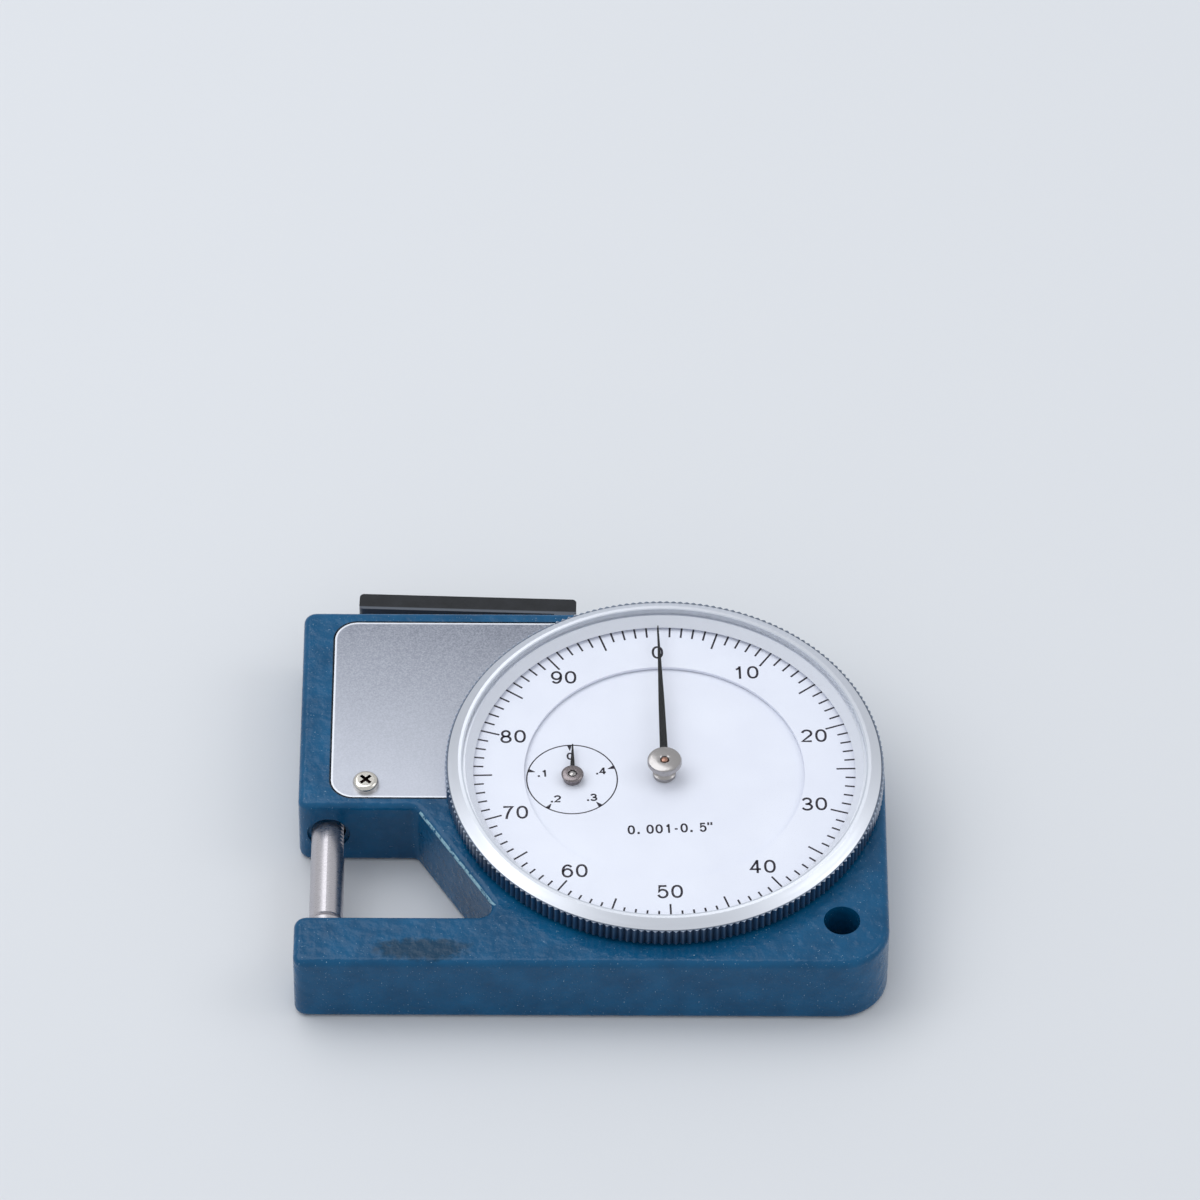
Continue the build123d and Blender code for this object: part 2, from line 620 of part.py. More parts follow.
# Bezel: turned ring with a serrated grip, a sloping top and a cone down to the dial
channel_inner_r = RING_OUTER_R + TURN_GAP
channel_outer_r = SEAT_R + TURN_GAP
knurl_root_r = BEZEL_R - KNURL_DEPTH
crystal_wall_r = CRYSTAL_R + GASKET_W
knurl_points = []
for tooth in range(KNURL_TEETH):
    for radius, step in ((knurl_root_r, 0), (BEZEL_R, 0.5)):
        angle = 2 * pi * (tooth + step) / KNURL_TEETH
        knurl_points.append((radius * cos(angle), radius * sin(angle)))
with BuildPart() as bezel:
    with BuildSketch(Plane.XZ):
        with BuildLine():
            Polyline(
                (channel_outer_r, SKIRT_Z),
                (knurl_root_r, SKIRT_Z),
                (knurl_root_r, KNURL_TOP_Z),
                (BEZEL_LIP_R, BEZEL_TOP_Z),
                (crystal_wall_r, BEZEL_TOP_Z),
                (crystal_wall_r, CRYSTAL_SEAT_Z),
                (CONE_TOP_R, CRYSTAL_SEAT_Z),
                (DIAL_VIEW_R, CONE_FOOT_Z),
                (DIAL_VIEW_R, CONE_FOOT_Z - TURN_GAP),
                (RING_OUTER_R - RING_EDGE_W, CONE_FOOT_Z - TURN_GAP),
                (RING_OUTER_R - RING_EDGE_W, DIAL_Z),
                (channel_inner_r, DIAL_Z),
                (channel_inner_r, RIM_TOP_Z + RIM_GAP),
                (channel_outer_r, RIM_TOP_Z + RIM_GAP),
                (channel_outer_r, WIRE_Z + WIRE_R + WIRE_SLACK),
                (SEAT_R + WIRE_R + WIRE_SLACK, WIRE_Z + WIRE_R + WIRE_SLACK),
                (SEAT_R + WIRE_R + WIRE_SLACK, WIRE_Z - WIRE_R - WIRE_SLACK),
                (channel_outer_r, WIRE_Z - WIRE_R - WIRE_SLACK),
                close=True,
            )
        make_face()
    revolve(axis=Axis.Z)
    with BuildSketch(Plane.XY.offset(SKIRT_Z)):
        with BuildLine():
            Polyline(*knurl_points, close=True)
        make_face()
        Circle(knurl_root_r - KNURL_DEPTH, mode=Mode.SUBTRACT)
    extrude(amount=KNURL_TOP_Z - SKIRT_Z)
save(bezel, "bezel")

# Crystal: a shallow dome, sealed at its edge by a gasket
dome_under_z = CRYSTAL_SEAT_Z + CRYSTAL_DOME
with BuildPart() as crystal:
    with BuildSketch(Plane.XZ):
        with BuildLine():
            ThreePointArc((-CRYSTAL_R, CRYSTAL_SEAT_Z), (0, dome_under_z), (CRYSTAL_R, CRYSTAL_SEAT_Z))
            Line((CRYSTAL_R, CRYSTAL_SEAT_Z), (CRYSTAL_R, CRYSTAL_SEAT_Z + CRYSTAL_T))
            ThreePointArc(
                (CRYSTAL_R, CRYSTAL_SEAT_Z + CRYSTAL_T),
                (0, dome_under_z + CRYSTAL_T),
                (-CRYSTAL_R, CRYSTAL_SEAT_Z + CRYSTAL_T),
            )
            Line((-CRYSTAL_R, CRYSTAL_SEAT_Z + CRYSTAL_T), (-CRYSTAL_R, CRYSTAL_SEAT_Z))
        make_face()
        split(bisect_by=Plane.YZ)
    revolve(axis=Axis.Z)
save(crystal, "crystal")

with BuildPart() as crystal_gasket:
    with BuildSketch(Plane.XY.offset(CRYSTAL_SEAT_Z)):
        Circle(crystal_wall_r)
        Circle(CRYSTAL_R, mode=Mode.SUBTRACT)
    extrude(amount=BEZEL_TOP_Z - CRYSTAL_SEAT_Z)
save(crystal_gasket, "crystal_gasket")


def plate_outline(end_r):
    """Hull around the arbors and pillars, inside the sketch that calls it."""
    with Locations(rack_axis):
        Circle(end_r)
    for place in PILLARS_AT:
        with Locations(place):
            Circle(PILLAR_R + PILLAR_LAND)
    make_hull()
    with Locations(COVER_SCREW_AT):
        Circle(SCREW_BOSS_R + 2 * TURN_GAP, mode=Mode.SUBTRACT)
    # Straight lower edge along the chamber's wall
    trim_h = great_tip_r
    with Locations((idler_two_axis[0] - 2, POCKET_LOW + 2 * TURN_GAP)):
        Rectangle(great_tip_r * 3, trim_h, align=(Align.MAX, Align.MAX), mode=Mode.SUBTRACT)


# Movement plates: the arbors turn between them
plate_end_r = 2.2
with BuildPart() as movement_base_plate:
    with BuildSketch(Plane.XY.offset(FLOOR_T)):
        plate_outline(plate_end_r)
        for axis in (rack_axis, counter_axis, centre_axis):
            with Locations(axis):
                Circle(PIVOT_R + PIVOT_GAP, mode=Mode.SUBTRACT)
        for axis in (idler_one_axis, idler_two_axis):
            with Locations(axis):
                Circle(STUD_R, mode=Mode.SUBTRACT)
    extrude(amount=PLATE_GAUGE)
save(movement_base_plate, "movement_base_plate")

with BuildPart() as movement_top_plate:
    with BuildSketch(Plane.XY.offset(TOP_PLATE_Z)):
        plate_outline(plate_end_r)
        with Locations(rack_axis):
            Circle(PIVOT_R + PIVOT_GAP, mode=Mode.SUBTRACT)
        for axis in (counter_axis, centre_axis):
            with Locations(axis):
                Circle(CENTRE_ARBOR_R + PIVOT_GAP, mode=Mode.SUBTRACT)
        for place in PILLARS_AT:
            with Locations(place):
                Circle(PILLAR_SCREW_R, mode=Mode.SUBTRACT)
    extrude(amount=TOP_PLATE_T)
save(movement_top_plate, "movement_top_plate")

with BuildPart() as plate_pillars:
    with BuildSketch(Plane.XY.offset(plate_top_z)):
        with Locations(*PILLARS_AT):
            Circle(PILLAR_R)
    extrude(amount=TOP_PLATE_Z - plate_top_z)
    with BuildSketch(Plane.XY.offset(TOP_PLATE_Z)):
        with Locations(*PILLARS_AT):
            Circle(PILLAR_SCREW_R)
    extrude(amount=-1.5, mode=Mode.SUBTRACT)
save(plate_pillars, "plate_pillars")

with BuildPart() as plate_screws:
    with BuildSketch(Plane.XY.offset(TOP_PLATE_Z - 1.5)):
        with Locations(*PILLARS_AT):
            Circle(PILLAR_SCREW_R)
    extrude(amount=TOP_PLATE_T + 1.5)
    with BuildSketch(Plane.XY.offset(TOP_PLATE_Z + TOP_PLATE_T)):
        with Locations(*PILLARS_AT):
            Circle(PILLAR_HEAD_R)
    extrude(amount=PILLAR_HEAD_H)
    with BuildSketch(Plane.XY.offset(TOP_PLATE_Z + TOP_PLATE_T + PILLAR_HEAD_H / 2)):
        with Locations(*PILLARS_AT):
            Rectangle(2 * PILLAR_HEAD_R, PILLAR_HEAD_R * 0.3)
    extrude(amount=PILLAR_HEAD_H, mode=Mode.SUBTRACT)
save(plate_screws, "plate_screws")

# Rack arbor, turned once by the spindle's whole travel
pinion_low_z = mid_z - RACK_PINION_W / 2
pivot_low_z = FLOOR_T + END_SHAKE
shoulder_low_z = plate_top_z + END_SHAKE
shoulder_high_z = TOP_PLATE_Z - END_SHAKE
rack_arbor = turned_pin(
    rack_axis,
    (
        (pivot_low_z, shoulder_low_z, PIVOT_R),
        (shoulder_low_z, shoulder_high_z, ARBOR_R),
        (shoulder_high_z, TOP_PLATE_Z + TOP_PLATE_T, PIVOT_R),
    ),
)
save(rack_arbor, "rack_arbor")
rack_pinion = toothed_wheel(
    RACK_PINION_TEETH, rack_module, rack_phase, rack_axis, pinion_low_z, RACK_PINION_W, ARBOR_R
)
save(rack_pinion, "rack_pinion")
first_wheel = toothed_wheel(FIRST_TEETH, MODULE, first_phase, rack_axis, WHEEL_Z, WHEEL_T, ARBOR_R)
save(first_wheel, "first_wheel")

# Idlers: each turns on a headed stud of the base plate
stud_bore_r = STUD_R + PIVOT_GAP
hub_top_z = WHEEL_Z + WHEEL_T + HUB_H
with BuildPart() as idler_studs:
    with BuildSketch(Plane.XY.offset(FLOOR_T)):
        with Locations(idler_one_axis, idler_two_axis):
            Circle(STUD_R)
    extrude(amount=hub_top_z + END_SHAKE - FLOOR_T)
    with BuildSketch(Plane.XY.offset(hub_top_z + END_SHAKE)):
        with Locations(idler_one_axis, idler_two_axis):
            Circle(STUD_HEAD_R)
    extrude(amount=STUD_HEAD_H)
save(idler_studs, "idler_studs")


def idler_wheel(teeth, phase, axis, label):
    wheel = toothed_wheel(teeth, MODULE, phase, axis, WHEEL_Z, WHEEL_T, stud_bore_r, spokes=4)
    with BuildPart() as idler:
        add(wheel.part)
        with BuildSketch(Plane((axis[0], axis[1], WHEEL_Z + WHEEL_T))):
            Circle(HUB_R)
            Circle(stud_bore_r, mode=Mode.SUBTRACT)
        extrude(amount=HUB_H)
    save(idler, label)
    return idler


idler_wheel_one = idler_wheel(IDLER_ONE_TEETH, idler_one_phase, idler_one_axis, "idler_wheel_one")
idler_wheel_two = idler_wheel(IDLER_TWO_TEETH, idler_two_phase, idler_two_axis, "idler_wheel_two")

# Counter arbor: one turn for the whole travel, with the small hand at its front
small_cap_low_z = SMALL_HAND_Z + SMALL_HAND_T
counter_arbor = turned_pin(
    counter_axis,
    (
        (pivot_low_z, shoulder_low_z, PIVOT_R),
        (shoulder_low_z, shoulder_high_z, ARBOR_R),
        (shoulder_high_z, small_cap_low_z, CENTRE_ARBOR_R),
    ),
)
save(counter_arbor, "counter_arbor")
counter_wheel = toothed_wheel(
    COUNTER_TEETH, MODULE, counter_phase, counter_axis, WHEEL_Z, WHEEL_T, ARBOR_R
)
save(counter_wheel, "counter_wheel")
great_wheel = toothed_wheel(
    GREAT_TEETH, MODULE, great_phase, counter_axis, GREAT_Z, GREAT_T, ARBOR_R, spokes=5
)
save(great_wheel, "great_wheel")

# Hairspring of half-turn arcs, taking the backlash out of the train
coil_r = ARBOR_R + HAIRSPRING_W
with BuildPart() as hairspring:
    with BuildSketch(Plane((counter_axis[0], counter_axis[1], HAIRSPRING_Z))):
        with BuildLine():
            start_x = coil_r
            for half_turn in range(2 * HAIRSPRING_TURNS):
                side = 1 if half_turn % 2 == 0 else -1
                end_x = -side * (abs(start_x) + HAIRSPRING_STEP)
                arc_r = (abs(start_x) + abs(end_x)) / 2
                ThreePointArc((start_x, 0), ((start_x + end_x) / 2, side * arc_r), (end_x, 0))
                start_x = end_x
        trace(line_width=HAIRSPRING_W)
    extrude(amount=HAIRSPRING_H)
    with BuildSketch(Plane((counter_axis[0], counter_axis[1], HAIRSPRING_Z))):
        Circle(coil_r + HAIRSPRING_W / 2)
        Circle(ARBOR_R, mode=Mode.SUBTRACT)
    extrude(amount=HAIRSPRING_H)
hairspring_end_x = start_x
save(hairspring, "hairspring")

stud_pin_r = 0.3
hairspring_stud = turned_pin(
    (counter_axis[0] + hairspring_end_x + stud_pin_r + HAIRSPRING_W / 2, counter_axis[1]),
    ((HAIRSPRING_Z, TOP_PLATE_Z, stud_pin_r),),
)
save(hairspring_stud, "hairspring_stud")

# Centre arbor: five turns for the whole travel, with the main hand at its front
centre_arbor = turned_pin(
    centre_axis,
    (
        (pivot_low_z, shoulder_low_z, PIVOT_R),
        (shoulder_low_z, shoulder_high_z, ARBOR_R),
        (shoulder_high_z, HAND_Z + HAND_T, CENTRE_ARBOR_R),
    ),
)
save(centre_arbor, "centre_arbor")
centre_pinion = toothed_wheel(
    CENTRE_TEETH,
    MODULE,
    centre_phase,
    centre_axis,
    GREAT_Z - PINION_EXTRA,
    GREAT_T + 2 * PINION_EXTRA,
    ARBOR_R,
)
save(centre_pinion, "centre_pinion")


def hand(axis, low_z, thickness, length, root_w, tip_w, lean):
    """A tapering needle that points up the dial, on a ring that fits its arbor."""
    with BuildPart() as needle:
        with BuildSketch(Plane((axis[0], axis[1], low_z)).rotated((0, 0, lean))):
            with BuildLine():
                Polyline(
                    (-root_w / 2, 0),
                    (-root_w * WAIST_SHARE, length * WAIST_AT),
                    (-tip_w / 2, length),
                    (tip_w / 2, length),
                    (root_w * WAIST_SHARE, length * WAIST_AT),
                    (root_w / 2, 0),
                    close=True,
                )
            make_face()
            Circle(root_w)
            Circle(CENTRE_ARBOR_R, mode=Mode.SUBTRACT)
        extrude(amount=thickness)
    return needle


def hub(axis, bush_low_z, bush_r, hand_low_z, hand_t, cap_r, cap_h):
    """A turned hub in two pieces that clamp the hand: a bush below it and a cap on top."""
    with BuildPart() as turned_hub:
        with BuildSketch(Plane((axis[0], axis[1], bush_low_z))):
            Circle(bush_r)
            Circle(CENTRE_ARBOR_R, mode=Mode.SUBTRACT)
        extrude(amount=hand_low_z - bush_low_z)
        with BuildSketch(Plane((axis[0], axis[1], hand_low_z + hand_t))):
            Circle(cap_r)
        extrude(amount=cap_h)
        fillet(turned_hub.edges().group_by(Axis.Z)[-1], CAP_ROUND)
    return turned_hub


main_hand = hand(
    centre_axis, HAND_Z, HAND_T, HAND_LENGTH, HAND_ROOT_W, HAND_TIP_W, HAND_LEAN
)
save(main_hand, "main_hand")
main_hub = hub(
    centre_axis, DISC_TOP_Z + HUB_GAP, MAIN_BUSH_R, HAND_Z, HAND_T, MAIN_CAP_R, MAIN_CAP_H
)
save(main_hub, "main_hub")
counter_hand = hand(
    counter_axis, SMALL_HAND_Z, SMALL_HAND_T, SMALL_HAND_LENGTH, SMALL_ROOT_W, HAND_TIP_W, 0
)
save(counter_hand, "counter_hand")
counter_hub = hub(
    counter_axis,
    DISC_TOP_Z + HUB_GAP,
    SMALL_BUSH_R,
    SMALL_HAND_Z,
    SMALL_HAND_T,
    SMALL_CAP_R,
    SMALL_CAP_H,
)
save(counter_hub, "counter_hub")

# Lift arm: its fork takes the spindle's pin, half the travel each side of level
arm_pivot = (ARM_PIVOT_X, LIFT_PIN_Y + TRAVEL / 2)
fork_reach = ARM_PIVOT_X - (LIFT_PIN_END_X - 0.5)
arm_half_swing = degrees(atan2(TRAVEL / 2, fork_reach))
arm_dir = (-cos(radians(arm_half_swing)), -sin(radians(arm_half_swing)), 0)
arm_plane = Plane(origin=(arm_pivot[0], arm_pivot[1], ARM_Z), x_dir=arm_dir, z_dir=(0, 0, 1))
peg_at = (
    arm_pivot[0] - PEG_REACH * cos(radians(arm_half_swing)),
    arm_pivot[1] - PEG_REACH * sin(radians(arm_half_swing)),
)
spring_hook_at = (
    arm_pivot[0] + SPRING_HOOK_REACH * arm_dir[0],
    arm_pivot[1] + SPRING_HOOK_REACH * arm_dir[1],
)
fork_root = ARM_TIP_R - FORK_DEPTH
with BuildPart() as lift_arm:
    with BuildSketch(arm_plane):
        with BuildLine():
            Polyline(
                (0, -ARM_BOSS_R),
                (fork_root - 3, -ARM_NECK_W / 2),
                (fork_root - 1, -FORK_HALF_W),
                (ARM_TIP_R, -FORK_HALF_W),
                (ARM_TIP_R, -FORK_SLOT_W / 2),
                (fork_root, -FORK_SLOT_W / 2),
                (fork_root, FORK_SLOT_W / 2),
                (ARM_TIP_R, FORK_SLOT_W / 2),
                (ARM_TIP_R, FORK_HALF_W),
                (fork_root - 1, FORK_HALF_W),
                (fork_root - 3, ARM_NECK_W / 2),
                (0, ARM_BOSS_R),
                close=True,
            )
        make_face()
        Circle(ARM_BOSS_R)
        Circle(ARM_STUD_R + PIVOT_GAP, mode=Mode.SUBTRACT)
        with Locations((PEG_REACH, 0)):
            Circle(PEG_R, mode=Mode.SUBTRACT)
        with Locations((SPRING_HOOK_REACH, 0)):
            Circle(SPRING_WIRE_R, mode=Mode.SUBTRACT)
    extrude(amount=ARM_T)
save(lift_arm, "lift_arm")

lift_peg = turned_pin(peg_at, ((ARM_Z, THUMB_Z + THUMB_T, PEG_R),))
save(lift_peg, "lift_peg")

lift_arm_stud = turned_pin(
    arm_pivot,
    (
        (FLOOR_T, ARM_Z - END_SHAKE, ARM_HEAD_R),
        (ARM_Z - END_SHAKE, ARM_Z + ARM_T + END_SHAKE, ARM_STUD_R),
        (ARM_Z + ARM_T + END_SHAKE, ARM_Z + ARM_T + 1, ARM_HEAD_R),
    ),
)
save(lift_arm_stud, "lift_arm_stud")

# Return spring: a hairpin round the foot of the stud, from the arm to the chamber's wall
bend_r = ARM_HEAD_R + SPRING_WIRE_R + TURN_GAP


def tangent_touch(point, side):
    """Where a straight leg from a point touches the bend round the arm's stud."""
    dx, dy = point[0] - arm_pivot[0], point[1] - arm_pivot[1]
    angle = atan2(dy, dx) + side * acos(bend_r / hypot(dx, dy))
    return (arm_pivot[0] + bend_r * cos(angle), arm_pivot[1] + bend_r * sin(angle))


low_touch = tangent_touch(spring_hook_at, 1)
high_touch = tangent_touch(SPRING_LEG_END, -1)
with BuildPart() as return_spring:
    with BuildLine(Plane.XY.offset(SPRING_Z)) as spring_path:
        Line(spring_hook_at, low_touch)
        ThreePointArc(low_touch, (arm_pivot[0] + bend_r, arm_pivot[1]), high_touch)
        Line(high_touch, SPRING_LEG_END)
    with BuildSketch(Plane((*spring_hook_at, SPRING_Z), z_dir=spring_path.line % 0)):
        Circle(SPRING_WIRE_R)
    sweep(path=spring_path.line)
    with BuildSketch(Plane((*spring_hook_at, SPRING_Z))):
        Circle(SPRING_WIRE_R)
    extrude(amount=ARM_Z + ARM_T / 2 - SPRING_Z)
save(return_spring, "return_spring")

# Thumb lever: a bar above the top edge, pivoted at its right end, with an arm inside
bar_lower_right = (BAR_RIGHT, BODY_TOP + BAR_LIFT)
bar_plane = Plane(
    origin=(bar_lower_right[0], bar_lower_right[1], BAR_Z),
    x_dir=(-cos(radians(BAR_TILT)), sin(radians(BAR_TILT)), 0),
    z_dir=(0, 0, -1),
)
bar_length = (BAR_RIGHT - BAR_LEFT) / cos(radians(BAR_TILT))
bar_depth = THUMB_Z + THUMB_T - BAR_Z
hook_top_y = peg_at[1] - PEG_R - THUMB_CONTACT_GAP
with BuildPart() as thumb_lever:
    with BuildSketch(Plane.XY.offset(BAR_Z)):
        with BuildLine():
            tilt = radians(BAR_TILT)
            along = (-bar_length * cos(tilt), bar_length * sin(tilt))
            across = (BAR_H * sin(tilt), BAR_H * cos(tilt))
            low_right = bar_lower_right
            low_left = (low_right[0] + along[0], low_right[1] + along[1])
            high_left = (low_left[0] + across[0], low_left[1] + across[1])
            high_right = (low_right[0] + across[0], low_right[1] + across[1])
            Polyline(low_right, low_left, high_left, high_right, close=True)
        make_face()
    extrude(amount=bar_depth)
    fillet(thumb_lever.edges().filter_by(Axis.Z), BAR_ROUND)
    with BuildSketch(Plane.XY.offset(THUMB_Z)):
        with Locations(THUMB_PIVOT):
            Circle(THUMB_BOSS_R)
        with Locations((BAR_RIGHT - WEB_W / 2 - BAR_ROUND / 2, BODY_TOP + BAR_LIFT + BAR_H / 2)):
            Circle(WEB_W / 3)
        make_hull()
        with BuildLine():
            Polyline(
                (THUMB_PIVOT[0] - THUMB_BOSS_R * 0.8, THUMB_PIVOT[1] - THUMB_BOSS_R * 0.6),
                (HOOK_LEFT_X - HOOK_R * 0.8, hook_top_y - HOOK_T),
                (HOOK_LEFT_X, hook_top_y - HOOK_T),
                (HOOK_RIGHT_X, hook_top_y - HOOK_T),
                (HOOK_RIGHT_X, hook_top_y),
                (HOOK_LEFT_X + HOOK_R, hook_top_y),
                (THUMB_PIVOT[0] + THUMB_BOSS_R * 0.8, THUMB_PIVOT[1] + THUMB_BOSS_R * 0.2),
                close=True,
            )
        make_face()
        with Locations(THUMB_PIVOT):
            Circle(THUMB_PIN_R + PIVOT_GAP, mode=Mode.SUBTRACT)
    extrude(amount=THUMB_T)
save(thumb_lever, "thumb_lever")

thumb_lever_pin = turned_pin(THUMB_PIVOT, ((FLOOR_T + END_SHAKE, recess_z, THUMB_PIN_R),))
save(thumb_lever_pin, "thumb_lever_pin")
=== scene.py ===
# %% [markdown]
# # A pocket thickness gauge, dressed in Blender
#
# The gauge is a cast frame with two jaws, a spindle that a lever lifts off an anvil,
# and a dial under a turning bezel. Every solid comes packed from the CAD, already in
# its place, so this lesson only adds what a solid can't say: paint, metal, print,
# light and a camera. The first step loads the solids.

# %% Load the imported model
import math

import bmesh
import bpy
from mathutils import Matrix, Vector


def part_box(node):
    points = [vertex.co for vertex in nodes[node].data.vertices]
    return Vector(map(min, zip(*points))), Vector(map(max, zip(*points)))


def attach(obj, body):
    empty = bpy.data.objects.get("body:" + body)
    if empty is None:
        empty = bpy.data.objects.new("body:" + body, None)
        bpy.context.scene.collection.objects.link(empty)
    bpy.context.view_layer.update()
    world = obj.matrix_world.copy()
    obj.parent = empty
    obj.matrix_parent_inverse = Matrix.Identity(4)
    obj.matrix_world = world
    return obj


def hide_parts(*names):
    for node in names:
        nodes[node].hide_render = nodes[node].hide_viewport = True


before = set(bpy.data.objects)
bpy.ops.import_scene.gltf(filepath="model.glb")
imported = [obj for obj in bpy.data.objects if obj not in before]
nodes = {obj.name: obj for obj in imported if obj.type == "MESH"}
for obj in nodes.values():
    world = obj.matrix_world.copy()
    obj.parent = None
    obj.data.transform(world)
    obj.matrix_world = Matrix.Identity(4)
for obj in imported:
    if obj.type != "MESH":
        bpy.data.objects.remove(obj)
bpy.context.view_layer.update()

MM = 0.001

# %% [markdown]
# ## Camera
#
# The photograph looks down on the gauge from the front with a long lens. The place of
# a camera can be guessed and nudged, but circles say it exactly: the bezel's rims are
# true circles, and how flat they look gives the height of the eye. The straight edges
# of the casting then settle the turn. The numbers below were worked out that way, for
# a picture of 1200 by 1200 pixels.

# %% Camera
PICTURE_PX = 1200
SENSOR_MM = 36.0
FOCAL_PX = 7888.3
EYE_ELEVATION = math.radians(47.812)
EYE_AZIMUTH = math.radians(-0.364)
EYE_ROLL = math.radians(0.524)
EYE_DISTANCE = 1064.45 * MM
AIM = Vector((-8.332, 41.212, 0)) * MM

back = Vector((
    math.sin(EYE_AZIMUTH) * math.cos(EYE_ELEVATION),
    -math.cos(EYE_AZIMUTH) * math.cos(EYE_ELEVATION),
    math.sin(EYE_ELEVATION),
))
level = Vector((0, 0, 1)).cross(back).normalized()
upright = back.cross(level)
right = level * math.cos(EYE_ROLL) + upright * math.sin(EYE_ROLL)
upward = upright * math.cos(EYE_ROLL) - level * math.sin(EYE_ROLL)

camera = bpy.data.objects.new("camera", bpy.data.cameras.new("camera"))
camera.data.sensor_width = SENSOR_MM
camera.data.lens = FOCAL_PX / PICTURE_PX * SENSOR_MM
camera.data.clip_start = 0.05
camera.data.clip_end = 20
camera.matrix_world = Matrix.Translation(AIM + back * EYE_DISTANCE) @ Matrix((
    (right.x, upward.x, back.x, 0),
    (right.y, upward.y, back.y, 0),
    (right.z, upward.z, back.z, 0),
    (0, 0, 0, 1),
))
bpy.context.scene.collection.objects.link(camera)
bpy.context.scene.camera = camera
print("lens mm", round(camera.data.lens, 1))

# %% [markdown]
# ## Light and floor
#
# Metal shows its surroundings more than itself, so the light is as much a part of the
# look as any material. An even, pale world gives most of it, like a tent of cloth.
# One wide soft panel hangs up and behind: its far edge lies just where the flat tops
# mirror the eye's line, so the near, left half of the paint and the plate shine and
# the far, right half stays deep. Two smaller ones at the sides are mirrored by the
# bezel's sloping rim at its near left and near right. A panel's brightness is its
# power over its area, so the power is worked out from the brightness that is wanted.
# The floor is matt and pale.

# %% Light and floor
GAUGE_MIDDLE = Vector((0, 0, 5)) * MM
LAMP_TINT = (0.96, 0.98, 1.0)
SKY_TINT = (0.94, 0.97, 1.0)
SKY_STRENGTH = 0.72
FLOOR_HALF = 1.5


def softbox(name, place, size, brightness):
    """A square panel of light that faces the gauge, as bright as a screen's white at 1."""
    panel = bpy.data.lights.new(name, "AREA")
    panel.size = size
    panel.energy = brightness * math.pi * size * size
    panel.color = LAMP_TINT
    lamp = bpy.data.objects.new(name, panel)
    lamp.location = place
    towards = GAUGE_MIDDLE - Vector(place)
    lamp.rotation_euler = towards.to_track_quat("-Z", "Y").to_euler()
    bpy.context.scene.collection.objects.link(lamp)


softbox("main_softbox", (-0.25, 0.27, 0.74), 0.62, 1.7)
softbox("left_softbox", (-0.60, -0.02, 0.64), 0.42, 1.7)
softbox("right_softbox", (0.62, 0.02, 0.62), 0.40, 1.5)

world = bpy.data.worlds.new("studio")
world.use_nodes = True
sky = world.node_tree.nodes["Background"]
sky.inputs["Color"].default_value = (*SKY_TINT, 1)
sky.inputs["Strength"].default_value = SKY_STRENGTH
bpy.context.scene.world = world
bpy.context.scene.view_settings.view_transform = "Standard"

floor_mesh = bpy.data.meshes.new("floor")
floor_mesh.from_pydata(
    [(-FLOOR_HALF, -FLOOR_HALF, 0), (FLOOR_HALF, -FLOOR_HALF, 0),
     (FLOOR_HALF, FLOOR_HALF, 0), (-FLOOR_HALF, FLOOR_HALF, 0)],
    [], [(0, 1, 2, 3)],
)
floor = bpy.data.objects.new("floor", floor_mesh)
bpy.context.scene.collection.objects.link(floor)

# %% [markdown]
# ## How the finishes are built
#
# A finish is one Principled shader. What is the same all over, such as how metallic
# it is, is typed on the shader's own sockets. What changes over the surface, such as
# grain, is a noise that is measured in millimetres of the real part, so that its
# scale is honest. A few small helpers cover nearly all of it: a start, a noise, a
# ramp that turns a number into colour or roughness, a mix and a bump. A ramp only
# knows places from 0 to 1, so a distance that can be negative is moved to its middle.

# %% Helpers for finishes
def srgb(r, g, b):
    """A colour as seen on a screen, 0 to 255, as the linear one that a shader takes."""
    return tuple(
        (v / 255) / 12.92 if v <= 10 else (((v / 255) + 0.055) / 1.055) ** 2.4
        for v in (r, g, b)
    )


RAMP_MIDDLE = 0.5


